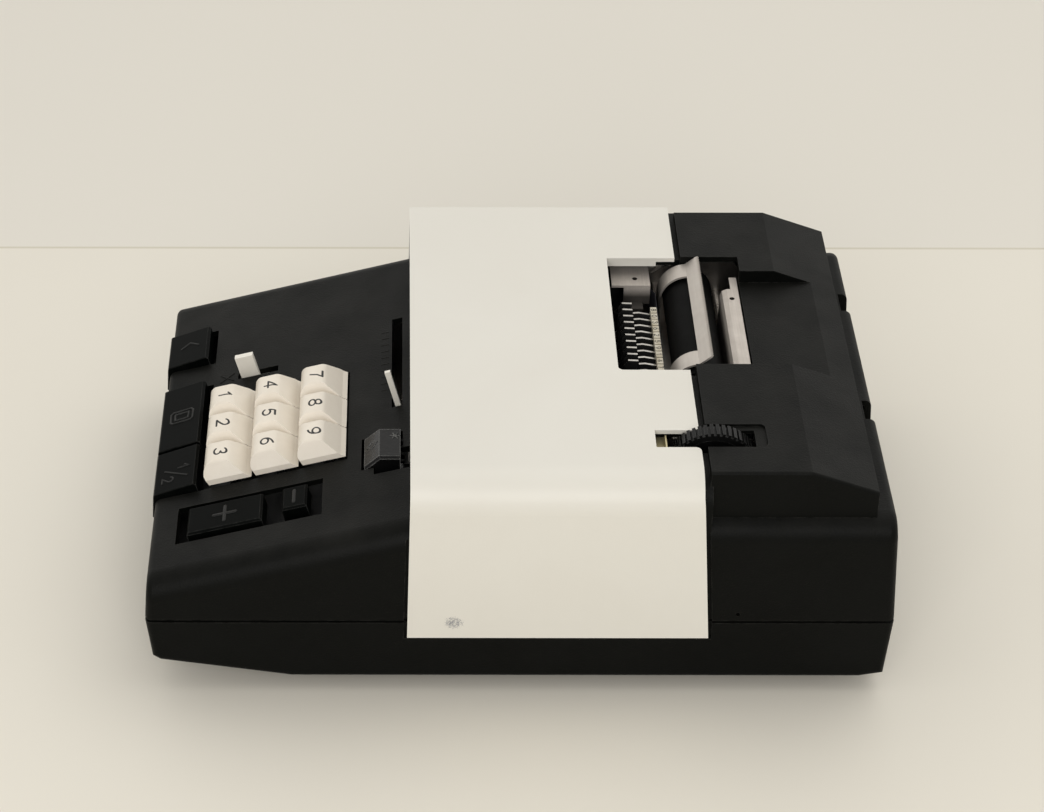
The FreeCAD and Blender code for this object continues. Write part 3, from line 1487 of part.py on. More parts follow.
def buildPlaten():
    y, z = "platenY", "platenZ"
    roller = rod("platen_rubber", "platenRadius", "platenLeftX", "platenRightX", y, z)
    bore = rod("platen_bore", "shaftRadius + fitGap", "platenLeftX - overrun",
               "platenRightX + overrun", y, z)
    piece("platen_roller", cut("platen_whole", roller, [bore]))
    wheelEnd = "wheelLeftX + wheelWide"
    piece("platen_shaft", rod("platen_axle", "shaftRadius", "leftFrameX - shaftOut",
                              wheelEnd + " + wheelShaftOut", y, z))
    wheel = place(toothed("wheel_disc", "wheelRadius", "wheelRadius - ribDeep", "wheelRibs",
                          "wheelLeftX", "wheelWide", 0.5), y, z)
    hub = rod("wheel_hub", "wheelHub", "wheelLeftX - wheelHubLong", wheelEnd, y, z)
    faces = []
    for name, start, end in (("left", "wheelLeftX - overrun", "wheelLeftX + wheelDish"),
                             ("right", wheelEnd + " - wheelDish", wheelEnd + " + overrun")):
        dish = rod("wheel_dish_" + name, "wheelRadius - wheelRim", start, end, y, z)
        core = rod("wheel_dish_core_" + name, "wheelHub", start, end, y, z)
        faces.append(cut("wheel_face_" + name, dish, [core]))
    bore = rod("wheel_bore", "shaftRadius + fitGap", "wheelLeftX - wheelHubLong - overrun",
               wheelEnd + " + overrun", y, z)
    whole = cut("wheel_whole", fuse("wheel_solid", [wheel, hub]), faces + [bore])
    piece("thumbwheel", whole)
    bushes = []
    for name, frame, inward in (("left", "leftFrameX", "frameThick"),
                                ("right", "rightFrameX", "0 - bushFlangeThick")):
        flangeStart = "(%s + %s)" % (frame, inward)
        tube = rod("bush_tube_" + name, "bushOuter", frame, frame + " + frameThick", y, z)
        flange = rod("bush_flange_" + name, "bushFlange", flangeStart,
                     flangeStart + " + bushFlangeThick", y, z)
        bore = rod("bush_bore_" + name, "shaftRadius + runningGap", frame + " - overrun",
                   frame + " + frameThick + overrun", y, z)
        bushes.append(cut("bush_" + name, fuse("bush_solid_" + name, [tube, flange]), [bore]))
    piece("platen_bushes", group("bush_set", bushes))
    ratchet = place(toothed("ratchet_disc", "ratchetRadius", "ratchetRoot", "ratchetTeeth",
                            "ratchetLeftX", "ratchetWide", 0.5), y, z)
    hub = rod("ratchet_boss", "ratchetHub", "ratchetLeftX + ratchetWide / 2",
              "ratchetLeftX + ratchetWide + ratchetHubLong", y, z)
    bore = rod("ratchet_bore", "shaftRadius + fitGap", "ratchetLeftX - overrun",
               "ratchetLeftX + ratchetWide + ratchetHubLong + overrun", y, z)
    piece("ratchet_wheel", cut("ratchet_whole", fuse("ratchet_solid", [ratchet, hub]), [bore]))


def buildPawl():
    x0 = "ratchetLeftX"
    x1 = "ratchetLeftX + pawlThick"
    hub = rod("pawl_hub", "pawlHub", x0, x1, "0", "0")
    arm = prism("pawl_arm", "YZ", [[
        ("0", "0 - pawlArmWide / 2"), ("0", "pawlArmWide / 2"),
        ("pawlPivotReach - ratchetRadius - pawlTipGap", "pawlTipHalf"),
        ("pawlPivotReach - ratchetRadius - pawlTipGap", "0 - pawlTipHalf"),
    ]], x0, x1)
    bore = rod("pawl_bore", "pawlPin + runningGap", x0 + " - overrun", x1 + " + overrun", "0", "0")
    pawl = cut("pawl_whole", fuse("pawl_solid", [hub, arm]), [bore])
    turn = FreeCAD.Rotation(FreeCAD.Vector(1, 0, 0), size("pawlAngle") - 180)
    pawl.Placement = FreeCAD.Placement(FreeCAD.Vector(), turn)
    bind(pawl, "Placement.Rotation.Angle", "pawlAngle - 180")
    place(pawl, pawlPivotY, pawlPivotZ)
    piece("feed_pawl", pawl)
    return [rod("pawl_stud", "pawlPin", leftInner, x1 + " + pawlStudOut", pawlPivotY, pawlPivotZ)]


# Tear-off frame: two curved arms, a straight blade with fine teeth, and legs down to the bar

def buildTearOff():
    arms = []
    for name, x0, x1 in (("left", "tearArmLeftX", "tearArmLeftX + tearArmWide"),
                         ("right", "tearArmRightX - tearArmWide", "tearArmRightX")):
        outer = rod("tear_outer_" + name, tearOuter, x0, x1, "platenY", "platenZ")
        inner = rod("tear_inner_" + name, tearOuter + " - tearWall", x0 + " - overrun",
                    x1 + " + overrun", "platenY", "platenZ")
        tube = cut("tear_tube_" + name, outer, [inner])
        quarter = box("tear_quarter_" + name, x0, x1, "platenY - 2 * platenRadius",
                      "tearTopY + tearWall", "platenZ", "platenZ + 2 * platenRadius")
        arms.append(common("tear_arm_" + name, tube, quarter))
        arms.append(box("tear_leg_" + name, x0, x1, "platenY - " + tearOuter,
                        "platenY - %s + tearWall" % tearOuter, "barBottomZ", "platenZ"))
    teeth = int(size("tearTeeth"))
    pitch = "(tearArmRightX - tearArmLeftX) / tearTeeth"
    outline = [("tearArmLeftX", "0"), ("tearArmRightX", "0")]
    for i in range(teeth, 0, -1):
        outline.append(("tearArmLeftX + %d * %s" % (i, pitch), "tearLong - tearToothDeep"))
        outline.append(("tearArmLeftX + (%d - 0.5) * %s" % (i, pitch), "tearLong"))
    outline.append(("tearArmLeftX", "tearLong - tearToothDeep"))
    blade = prism("tear_blade", "XY", [outline], "0 - tearWall", "0")
    turned = group("tear_blade_turned", [blade])
    turned.Placement = FreeCAD.Placement(
        FreeCAD.Vector(), FreeCAD.Rotation(FreeCAD.Vector(1, 0, 0), size("tearSlope")))
    bind(turned, "Placement.Rotation.Angle", "tearSlope")
    place(turned, "tearTopY", "tearTopZ + tearWall")
    piece("tear_off_frame", fuse("tear_whole", arms + [turned]))


def buildPaperGuide():
    frontY = "(rodRearY - rodRadius - fitGap - guideWall)"
    strip = prism("guide_strip", "YZ", [[
        (frontY, "guideFootZ"), (frontY + " + guideWall", "guideFootZ"),
        (frontY + " + guideWall", "guideTopZ - guideBend"),
        (frontY + " + guideBend", "guideTopZ - guideWall"),
        ("guideRearY", "guideTopZ - guideWall"), ("guideRearY", "guideTopZ"),
        (frontY + " + guideCurveOut", "guideTopZ"),
        (frontY + " + guideCurveIn", "guideTopZ - guideCurveDrop"),
        (frontY, "guideTopZ - guideBend"),
    ]], "guideLeftX", "guideRightX")
    tab = box("guide_tab", "guideTabLeftX", "guideLeftX + overrun", "guideRearY - guideTabWide",
              "guideRearY", "guideTopZ - guideWall", "guideTopZ")
    holes = [
        post("guide_hole_" + name, "guideHole", x, "guideHoleY", "guideTopZ - guideBend",
             "guideTopZ + overrun")
        for name, x in (("left", "guideHoleFirstX"), ("right", "guideHoleSecondX"))
    ]
    piece("paper_guide", cut("guide_whole", fuse("guide_solid", [strip, tab]), holes))


def buildPressureRollers():
    rollers = []
    for i, x in enumerate(("rollerFirstX", "rollerSecondX")):
        rubber = rod("roller_rubber_%d" % i, "rollerRadius", x, x + " + rollerLong", rollerY,
                     rollerZ)
        bore = rod("roller_bore_%d" % i, "rollerShaft + fitGap", x + " - overrun",
                   x + " + rollerLong + overrun", rollerY, rollerZ)
        rollers.append(cut("roller_%d" % i, rubber, [bore]))
    piece("pressure_rollers", group("roller_set", rollers))
    shaft = rod("roller_axle", "rollerShaft - fitGap", "leftFrameX - rodEndLong",
                rightOuter + " + rodEndLong", rollerY, rollerZ)
    piece("pressure_shaft", shaft)


# Type sectors with their slugs, and the index levers between them

def sectorSet(name, count, shift, outline):
    plates = []
    for i in range(count):
        x = "(sectorFirstX + %s + %d * columnPitch)" % (shift, i)
        x1 = x + " + sectorThick"
        arm = prism("%s_arm_%d" % (name, i), "YZ", [outline], x, x1)
        hub = rod("%s_hub_%d" % (name, i), "sectorHub", x, x1, "sectorPivotY", "sectorPivotZ")
        bore = rod("%s_bore_%d" % (name, i), "sectorShaft + runningGap", x + " - overrun",
                   x1 + " + overrun", "sectorPivotY", "sectorPivotZ")
        solid = fuse("%s_solid_%d" % (name, i), [arm, hub])
        plates.append(cut("%s_%d" % (name, i), solid, [bore]))
    piece(name, group(name + "_set", plates))


def buildSectors():
    count = int(size("columnCount"))
    sectorSet("type_sectors", count, "0", [
        ("sectorPivotY - neckFront", "sectorPivotZ + neckUp"),
        ("sectorPivotY + neckOut", "sectorPivotZ - neckOut"),
        ("slugFrontY", "slugBottomZ"), ("slugFrontY", "sectorTopZ - sectorRearDrop"),
        ("(2 * sectorStartY + slugFrontY) / 3", "sectorTopZ"),
        ("sectorStartY", "sectorTopZ - plateCrown"), ("sectorStartY", "slugBottomZ"),
    ])
    sectorSet("index_levers", count, "leverShift", [
        ("sectorPivotY - neckOut", "sectorPivotZ + neckOut"),
        ("sectorPivotY + neckOut", "sectorPivotZ - neckOut"),
        ("leverRearY", "leverTopZ - leverDeep"), ("leverRearY", "leverTopZ - leverRearDrop"),
        ("leverFrontY + leverNoseLong", "leverTopZ"), ("leverFrontY", "leverTopZ - leverNose"),
        ("leverFrontY", "leverTopZ - leverDeep"),
    ])
    slugs = []
    for i in range(count):
        centre = "(sectorFirstX + sectorThick / 2 + %d * columnPitch)" % i
        slugs.append(box("slug_%d" % i, centre + " - slugWide / 2", centre + " + slugWide / 2",
                         "slugFrontY", "slugRearY", "slugBottomZ", "slugTopZ"))
    piece("type_slugs", group("slug_set", slugs))


def buildAccumulator():
    y, z = "accumulatorY", "accumulatorZ"
    count = int(size("columnCount"))
    long = "(columnPitch * (columnCount - 1) + accumulatorThick)"
    gears = place(toothed("accumulator_teeth", "accumulatorTip", "accumulatorRoot",
                          "accumulatorTeeth", "sectorFirstX", long, 0.55), y, z)
    tools = [rod("accumulator_bore", "accumulatorShaft + fitGap", "sectorFirstX - overrun",
                 "sectorFirstX + overrun + " + long, y, z)]
    for i in range(count - 1):
        x0 = "(sectorFirstX + accumulatorThick + %d * columnPitch)" % i
        x1 = "(sectorFirstX + %d * columnPitch)" % (i + 1)
        disc = rod("accumulator_gap_%d" % i, "accumulatorTip + overrun", x0, x1, y, z)
        sleeve = rod("accumulator_sleeve_%d" % i, "accumulatorSleeve", x0, x1, y, z)
        tools.append(cut("accumulator_groove_%d" % i, disc, [sleeve]))
    piece("accumulator_gears", cut("accumulator_whole", gears, tools))
    piece("accumulator_shaft", rod("accumulator_axle", "accumulatorShaft", "leftFrameX - shaftOut",
                                   rightOuter + " + shaftOut", y, z))


# Ribbon bracket, ribbon, spools and their plates

def buildRibbon():
    top = "bracketZ"
    under = "bracketZ - bracketWall"
    plate = box("bracket_plate", leftInner, "bracketRightX", "bracketFrontY", "bracketRearY",
                under, top)
    flange = box("bracket_flange", "bracketRightX - bracketWall", "bracketRightX",
                 "bracketFlangeY", "bracketRearY", "bracketFlangeZ", top)
    tab = box("bracket_tab", "bracketRightX - bracketWall", "bracketRightX + bracketTabLong",
              "(bracketFlangeY + bracketRearY - bracketTabWide) / 2",
              "(bracketFlangeY + bracketRearY + bracketTabWide) / 2", "bracketFlangeZ",
              "bracketFlangeZ + bracketWall")
    lug = box("bracket_lug", leftInner, leftInner + " + bracketWall", "bracketFrontY",
              "bracketRearY", "bracketLugZ", top)
    hole = post("bracket_hole", "guideHole", "bracketHoleX", "bracketHoleY", under + " - overrun",
                top + " + overrun")
    solid = fuse("bracket_solid", [plate, flange, tab, lug])
    piece("ribbon_bracket", cut("bracket_whole", solid, [hole]))
    plates = []
    for name, x, x0, x1 in (
            ("left", "leftSpoolX", leftInner, "leftSpoolX + spoolPlateWide"),
            ("right", "rightSpoolX", "rightSpoolX - spoolPlateWide", "rightFrameX")):
        flanges = fuse("spool_solid_" + name, [
            post("spool_low_" + name, "spoolRadius", x, "spoolY", "spoolBottomZ",
                 "spoolBottomZ + spoolFlange"),
            post("spool_core_" + name, "spoolCore", x, "spoolY", "spoolBottomZ", "spoolTopZ"),
            post("spool_high_" + name, "spoolRadius", x, "spoolY", "spoolTopZ - spoolFlange",
                 "spoolTopZ"),
        ])
        bore = post("spool_bore_" + name, "spoolPin + runningGap", x, "spoolY",
                    "spoolBottomZ - overrun", "spoolTopZ + overrun")
        piece("ribbon_spool_" + name, cut("spool_whole_" + name, flanges, [bore]))
        plates.append(fuse("spool_plate_" + name, [
            box("spool_shelf_" + name, x0, x1, "spoolY - spoolPlateWide", "spoolY + spoolPlateWide",
                "spoolPlateZ", "spoolPlateZ + plateThick"),
            post("spool_pin_" + name, "spoolPin", x, "spoolY", "spoolPlateZ", "spoolTopZ + spoolPinOut"),
            post("spool_seat_" + name, "2 * spoolPin", x, "spoolY", "spoolPlateZ",
                 "spoolBottomZ - passGap / 2"),
        ]))
    piece("spool_plates", group("spool_plate_set", plates))
    reach = "(spoolCore + passGap)"

    def tangent(spoolX, cornerX, side):
        """Where the ribbon meets its spool's winding, on the side towards the frame."""
        dx = "((%s) - (%s))" % (spoolX, cornerX)
        dy = "(spoolY - ribbonY)"
        far = "sqrt(%s ^ 2 + %s ^ 2)" % (dx, dy)
        a = "(%s / %s)" % (reach, far)
        b = "sqrt(1 - %s ^ 2)" % a
        plus, minus = ("+", "-") if side > 0 else ("-", "+")
        along = "(%s * %s / %s %s %s * %s / %s)" % (a, dx, far, plus, b, dy, far)
        across = "(%s * %s / %s %s %s * %s / %s)" % (a, dy, far, minus, b, dx, far)
        return "(%s - %s * %s)" % (spoolX, reach, along), "(spoolY - %s * %s)" % (reach, across)

    leftX, leftY = tangent("leftSpoolX", "ribbonLeftX", -1)
    rightX, rightY = tangent("rightSpoolX", "ribbonRightX", 1)
    thick = "ribbonThick"
    band = prism("ribbon_band", "XY", [[
        (leftX, leftY), ("ribbonLeftX", "ribbonY"), ("ribbonRightX", "ribbonY"), (rightX, rightY),
        (rightX, rightY + " + " + thick), ("ribbonRightX", "ribbonY + " + thick),
        ("ribbonLeftX", "ribbonY + " + thick), (leftX, leftY + " + " + thick),
    ]], "ribbonBottomZ", "ribbonTopZ")
    piece("ribbon", band)


# Motor in its cradle, its pinion, the gear it drives and the cams on the main shaft

def buildDrive():
    driveTip = "(gearModule * driveTeeth / 2 + toothRise)"
    driveRoot = "(gearModule * driveTeeth / 2 - toothDrop)"
    pinionTip = "(gearModule * pinionTeeth / 2 + toothRise)"
    pinionRoot = "(gearModule * pinionTeeth / 2 - toothDrop)"
    driveEnd = "driveLeftX + driveWide"
    gearGapShare = 0.68
    gear = place(toothed("drive_disc", driveTip, driveRoot, "driveTeeth", "driveLeftX",
                         "driveWide", gearGapShare, "driveAngle"), "mainY", "mainZ")
    dish = rod("drive_dish", driveRoot + " - driveRim", "driveLeftX + driveWeb",
               driveEnd + " + overrun", "mainY", "mainZ")
    core = rod("drive_core", "driveHub", "driveLeftX", driveEnd + " + overrun", "mainY", "mainZ")
    bore = rod("drive_bore", "mainRadius + fitGap", "driveLeftX - overrun", driveEnd + " + overrun",
               "mainY", "mainZ")
    piece("drive_gear", cut("drive_whole", gear, [cut("drive_face", dish, [core]), bore]))
    piece("main_shaft", rod("main_axle", "mainRadius", "leftFrameX - shaftOut",
                            driveEnd + " + driveShaftOut", "mainY", "mainZ"))
    cams = []
    for i, (x, lobe) in enumerate((("camFirstX", "+"), ("camSecondX", "-"))):
        x1 = x + " + camWide"
        solid = fuse("cam_solid_%d" % i, [
            rod("cam_disc_%d" % i, "camRadius", x, x1, "mainY", "mainZ"),
            rod("cam_lobe_%d" % i, "camLobe", x, x1, "mainY", "mainZ %s camRise" % lobe),
        ])
        bore = rod("cam_bore_%d" % i, "mainRadius + fitGap", x + " - overrun", x1 + " + overrun",
                   "mainY", "mainZ")
        cams.append(cut("cam_%d" % i, solid, [bore]))
    piece("drive_cams", group("cam_set", cams))
    pinion = place(toothed("pinion_disc", pinionTip, pinionRoot, "pinionTeeth",
                           "driveLeftX - pinionOver", "driveWide + 2 * pinionOver", gearGapShare,
                           "driveAngle"), motorY, motorZ)
    rotor = rod("pinion_shaft", "motorShaft", "motorRightX + motorBossLong - motorBore + overrun",
                driveEnd + " + shaftOut", motorY, motorZ)
    piece("motor_pinion", fuse("pinion_whole", [pinion, rotor]))
    housing = fuse("motor_solid", [
        rod("motor_can", "motorRadius", "motorLeftX", "motorRightX", motorY, motorZ),
        rod("motor_bosses", "motorBoss", "motorLeftX - motorBossLong",
            "motorRightX + motorBossLong", motorY, motorZ),
    ])
    hole = rod("motor_bore", "motorShaft + runningGap", "motorRightX + motorBossLong - motorBore",
               "motorRightX + motorBossLong + overrun", motorY, motorZ)
    piece("motor", cut("motor_whole", housing, [hole]))
    cradles = []
    for i, x in enumerate(("(motorLeftX + cradleInset)",
                           "(motorRightX - cradleInset - cradleWide)")):
        cradles.append(box("cradle_block_%d" % i, x, x + " + cradleWide", motorY + " - cradleHalf",
                           motorY + " + cradleHalf", floorZ, "cradleTopZ"))
    hollow = rod("cradle_hollow", "motorRadius + fitGap", "motorLeftX", "motorRightX", motorY,
                 motorZ)
    piece("motor_cradle", cut("cradle_whole", group("cradle_set", cradles), [hollow]))


def buildInletAndWheelPlate():
    x0, x1 = "inletX - inletWide / 2", "inletX + inletWide / 2"
    z0, z1 = "inletZ - inletHigh / 2", "inletZ + inletHigh / 2"
    shell = fuse("inlet_solid", [
        box("inlet_body", x0, x1, "inletRearY - inletDeep", "inletRearY", z0, z1),
        box("inlet_collar", x0 + " - inletCollar", x1 + " + inletCollar",
            "inletCollarY - inletCollar", "inletCollarY", z0 + " - inletCollar",
            z1 + " + inletCollar"),
    ])
    cavity = box("inlet_cavity", x0 + " + inletWall", x1 + " - inletWall",
                 "inletRearY - inletCavity", "inletRearY + overrun", z0 + " + inletWall",
                 z1 + " - inletWall")
    pins = []
    for i, side in enumerate(("-", "+")):
        pin = doc.addObject("Part::Cylinder", "inlet_pin_%d" % i)
        pin.Placement = FreeCAD.Placement(
            FreeCAD.Vector(), FreeCAD.Rotation(FreeCAD.Vector(1, 0, 0), -90))
        bind(pin, "Radius", "inletPin")
        bind(pin, "Height", "inletPinLong + overrun")
        bind(pin, "Placement.Base.x", "inletX %s inletPinPitch / 2" % side)
        bind(pin, "Placement.Base.y", "inletRearY - inletCavity - overrun")
        bind(pin, "Placement.Base.z", "inletZ")
        pins.append(pin)
    hollow = cut("inlet_shell", shell, [cavity])
    piece("mains_inlet", fuse("inlet_whole", [hollow] + pins))
    bracket = fuse("wheel_plate_whole", [
        box("wheel_plate", rightOuter, "wheelPlateRightX", "wheelPlateFrontY", "wheelPlateRearY",
            "wheelPlateZ - wheelPlateWall", "wheelPlateZ"),
        box("wheel_plate_lip", "wheelNotchLeftX", "wheelPlateRightX",
            "wheelPlateRearY - wheelPlateWall", "wheelPlateRearY", "wheelPlateZ - wheelPlateWall",
            "wheelPlateLipZ"),
        box("wheel_plate_lug", rightOuter, rightOuter + " + wheelPlateWall", "wheelPlateFrontY",
            "wheelPlateRearY", "wheelPlateZ - wheelPlateLug", "wheelPlateZ"),
    ])
    piece("wheel_bracket", bracket)


buildBase()
buildUpperCase()
buildCover()
buildFeetAndScrews()
for name, column, row in digitKeys:
    buildDigitKey(name, column, row)
for name, left, right in frontKeys:
    buildFrontKey(name, left, right)
for name, front, long, wide in functionKeys:
    buildFunctionKey(name, front, long, wide)
buildTabAndPointer()
buildKeyPlates()
buildFrame("left_frame", "leftFrameX", flangeXs[0], buildPawl())
buildFrame("right_frame", "rightFrameX", flangeXs[1], buildTotalKey())
buildRods()
buildCarriage()
buildPlaten()
buildTearOff()
buildPaperGuide()
buildPressureRollers()
buildSectors()
buildAccumulator()
buildRibbon()
buildDrive()
buildInletAndWheelPlate()
doc.recompute()

# Nothing is written unless every object built and every piece is a sound solid
for thing in doc.Objects:
    if "Invalid" in thing.State or "Error" in thing.State:
        raise ValueError("%s is %s" % (thing.Name, thing.State))
for name, thing in pieces.items():
    if thing.Shape.isNull() or not thing.Shape.isValid():
        raise ValueError(name + " has no sound shape")

os.makedirs("parts", exist_ok=True)
for name, thing in pieces.items():
    thing.Shape.exportStep("parts/%s.step" % name)
    box3 = thing.Shape.BoundBox
    print("%-18s %2d solids  X %.1f..%.1f  Y %.1f..%.1f  Z %.1f..%.1f  volume %.0f" % (
        name, len(thing.Shape.Solids), box3.XMin, box3.XMax, box3.YMin, box3.YMax, box3.ZMin,
        box3.ZMax, thing.Shape.Volume))
print(len(pieces), "pieces")
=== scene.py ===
import math

import bpy
from mathutils import Matrix, Vector


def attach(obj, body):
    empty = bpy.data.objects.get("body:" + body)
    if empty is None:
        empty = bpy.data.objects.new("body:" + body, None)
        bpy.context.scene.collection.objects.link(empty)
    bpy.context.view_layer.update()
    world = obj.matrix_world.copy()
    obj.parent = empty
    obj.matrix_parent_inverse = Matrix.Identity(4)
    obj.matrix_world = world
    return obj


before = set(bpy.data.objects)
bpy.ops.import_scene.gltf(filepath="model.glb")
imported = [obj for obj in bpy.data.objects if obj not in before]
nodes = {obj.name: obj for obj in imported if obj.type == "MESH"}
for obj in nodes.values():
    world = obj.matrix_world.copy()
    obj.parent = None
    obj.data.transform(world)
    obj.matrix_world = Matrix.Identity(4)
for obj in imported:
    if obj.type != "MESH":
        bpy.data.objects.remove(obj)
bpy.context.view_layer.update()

print("frame loaded with", len(nodes), "nodes")


# places on the machine are in millimetres, angles in degrees

mm = 0.001
deck = {"frontY": -141.2, "frontZ": 52.2, "slope": 15.0}   # the sloping keyboard deck


def deckPlace(x, u, n=0.0):
    # a local frame on the deck: local x runs right, local y up the slope, local z out of it
    slope = math.radians(deck["slope"])
    base = Matrix.Translation((0, deck["frontY"] * mm, deck["frontZ"] * mm)) @ Matrix.Rotation(slope, 4, "X")
    return base @ Matrix.Translation((x * mm, u * mm, n * mm))


def newGroup(name, inputs, outputs):
    tree = bpy.data.node_groups.new(name, "ShaderNodeTree")
    for label, kind, value in inputs:
        socket = tree.interface.new_socket(name=label, in_out="INPUT", socket_type=kind)
        socket.default_value = value
    for label, kind in outputs:
        tree.interface.new_socket(name=label, in_out="OUTPUT", socket_type=kind)
    start = tree.nodes.new("NodeGroupInput")
    end = tree.nodes.new("NodeGroupOutput")
    return tree, start, end


def addNode(tree, kind, settings=None, **values):
    node = tree.nodes.new(kind)
    for key, value in (settings or {}).items():
        setattr(node, key, value)
    for key, value in values.items():
        node.inputs[key].default_value = value
    return node


def calc(tree, operation, first, second=0.5):
    node = tree.nodes.new("ShaderNodeMath")
    node.operation = operation
    for i, value in enumerate((first, second)):
        if isinstance(value, (int, float)):
            node.inputs[i].default_value = value
        else:
            tree.links.new(value, node.inputs[i])
    return node.outputs[0]


def spread(tree, value, low, high, toLow=0.0, toHigh=1.0):
    node = tree.nodes.new("ShaderNodeMapRange")
    node.inputs["From Min"].default_value = low
    node.inputs["From Max"].default_value = high
    node.inputs["To Min"].default_value = toLow
    node.inputs["To Max"].default_value = toHigh
    tree.links.new(value, node.inputs["Value"])
    return node.outputs["Result"]


def axisParts(tree, place="Object"):
    # the three parts of a place on the machine, or of a direction
    where = tree.nodes.new("ShaderNodeTexCoord")
    parts = tree.nodes.new("ShaderNodeSeparateXYZ")
    tree.links.new(where.outputs[place], parts.inputs[0])
    return parts.outputs


def distance(tree, across, up):
    squares = calc(tree, "ADD", calc(tree, "MULTIPLY", across, across), calc(tree, "MULTIPLY", up, up))
    return calc(tree, "SQRT", squares)


grainShape = {"scale": 1400.0, "fine": 0.35, "smoothness": 0.6, "noiseOver": 1.7}


def makeGrainGroup():
    # pebbled grain of a moulding: rounded cells with fine noise between them
    tree, start, end = newGroup("mouldGrain", [
        ("Scale", "NodeSocketFloat", grainShape["scale"]), ("Fine", "NodeSocketFloat", grainShape["fine"]),
    ], [("Height", "NodeSocketFloat")])
    where = tree.nodes.new("ShaderNodeTexCoord")
    cells = addNode(tree, "ShaderNodeTexVoronoi", {"feature": "SMOOTH_F1"},
                    Smoothness=grainShape["smoothness"])
    noise = addNode(tree, "ShaderNodeTexNoise", Detail=3.0, Roughness=0.6)
    tree.links.new(where.outputs["Object"], cells.inputs["Vector"])
    tree.links.new(where.outputs["Object"], noise.inputs["Vector"])
    tree.links.new(start.outputs["Scale"], cells.inputs["Scale"])
    tree.links.new(calc(tree, "MULTIPLY", start.outputs["Scale"], grainShape["noiseOver"]),
                   noise.inputs["Scale"])
    fine = calc(tree, "MULTIPLY", noise.outputs["Fac"], start.outputs["Fine"])
    tree.links.new(calc(tree, "ADD", cells.outputs["Distance"], fine), end.inputs["Height"])
    return tree


highlightWearShape = {"width": 0.0005, "breakup": 0.5, "scale": 300.0, "samples": 4, "edge": (0.99, 0.8),
             "breakupShare": 0.6, "gate": 0.35}


def makeWearGroup():
    # where edges have been rubbed, with a painted highlight along them: the rounded normal leaves the true
    # one there
    tree, start, end = newGroup("edgeHighlightAndWear", [
        ("Width", "NodeSocketFloat", highlightWearShape["width"]),
        ("Breakup", "NodeSocketFloat", highlightWearShape["breakup"]),
        ("Scale", "NodeSocketFloat", highlightWearShape["scale"]),
    ], [("Mask", "NodeSocketFloat")])
    rounded = addNode(tree, "ShaderNodeBevel", {"samples": highlightWearShape["samples"]})
    true = tree.nodes.new("ShaderNodeNewGeometry")
    tree.links.new(start.outputs["Width"], rounded.inputs["Radius"])
    facing = addNode(tree, "ShaderNodeVectorMath", {"operation": "DOT_PRODUCT"})
    tree.links.new(rounded.outputs["Normal"], facing.inputs[0])
    tree.links.new(true.outputs["Normal"], facing.inputs[1])
    edge = spread(tree, facing.outputs["Value"], *highlightWearShape["edge"])
    where = tree.nodes.new("ShaderNodeTexCoord")
    noise = addNode(tree, "ShaderNodeTexNoise", Detail=4.0, Roughness=0.65)
    tree.links.new(where.outputs["Object"], noise.inputs["Vector"])
    tree.links.new(start.outputs["Scale"], noise.inputs["Scale"])
    held = calc(tree, "MULTIPLY", start.outputs["Breakup"], highlightWearShape["breakupShare"])
    gate = calc(tree, "SUBTRACT", noise.outputs["Fac"], held)
    worn = calc(tree, "MULTIPLY", edge, spread(tree, gate, 0.0, highlightWearShape["gate"]))
    tree.links.new(worn, end.inputs["Mask"])
    return tree


sheenDustShape = {"scale": 60.0, "amount": 1.0, "upward": (0.25, 0.98), "speckOver": 60.0, "film": (0.3, 0.75),
             "dots": (0.68, 0.75), "filmShare": 0.6, "dotShare": 0.5}


def makeDustGroup():
    # a thin film of dust that settles on faces that look up, in soft patches; it also paints a lighter sheen
    # on those up-facing faces
    tree, start, end = newGroup("sheenAndDustFilm", [
        ("Scale", "NodeSocketFloat", sheenDustShape["scale"]), ("Amount", "NodeSocketFloat", sheenDustShape["amount"]),
    ], [("Mask", "NodeSocketFloat")])
    true = tree.nodes.new("ShaderNodeNewGeometry")
    parts = tree.nodes.new("ShaderNodeSeparateXYZ")
    tree.links.new(true.outputs["Normal"], parts.inputs[0])
    upward = spread(tree, parts.outputs["Z"], *sheenDustShape["upward"])
    where = tree.nodes.new("ShaderNodeTexCoord")
    broad = addNode(tree, "ShaderNodeTexNoise", Detail=5.0, Roughness=0.6)
    specks = addNode(tree, "ShaderNodeTexNoise", Detail=2.0, Roughness=0.7)
    for noise in (broad, specks):
        tree.links.new(where.outputs["Object"], noise.inputs["Vector"])
    tree.links.new(start.outputs["Scale"], broad.inputs["Scale"])
    tree.links.new(calc(tree, "MULTIPLY", start.outputs["Scale"], sheenDustShape["speckOver"]),
                   specks.inputs["Scale"])
    film = spread(tree, broad.outputs["Fac"], *sheenDustShape["film"])
    dots = spread(tree, specks.outputs["Fac"], *sheenDustShape["dots"])
    both = calc(tree, "ADD", calc(tree, "MULTIPLY", film, sheenDustShape["filmShare"]),
                calc(tree, "MULTIPLY", dots, sheenDustShape["dotShare"]))
    tree.links.new(calc(tree, "MULTIPLY", calc(tree, "MULTIPLY", both, upward), start.outputs["Amount"]),
                   end.inputs["Mask"])
    return tree


brushShape = {"stretch": (60.0, 2400.0, 2400.0), "stainScale": 180.0, "lineShare": 0.45, "stainShare": 0.55}
toneSpan = (0.35, 0.65)   # the part of the lines' tone that is spread over a look's two colours


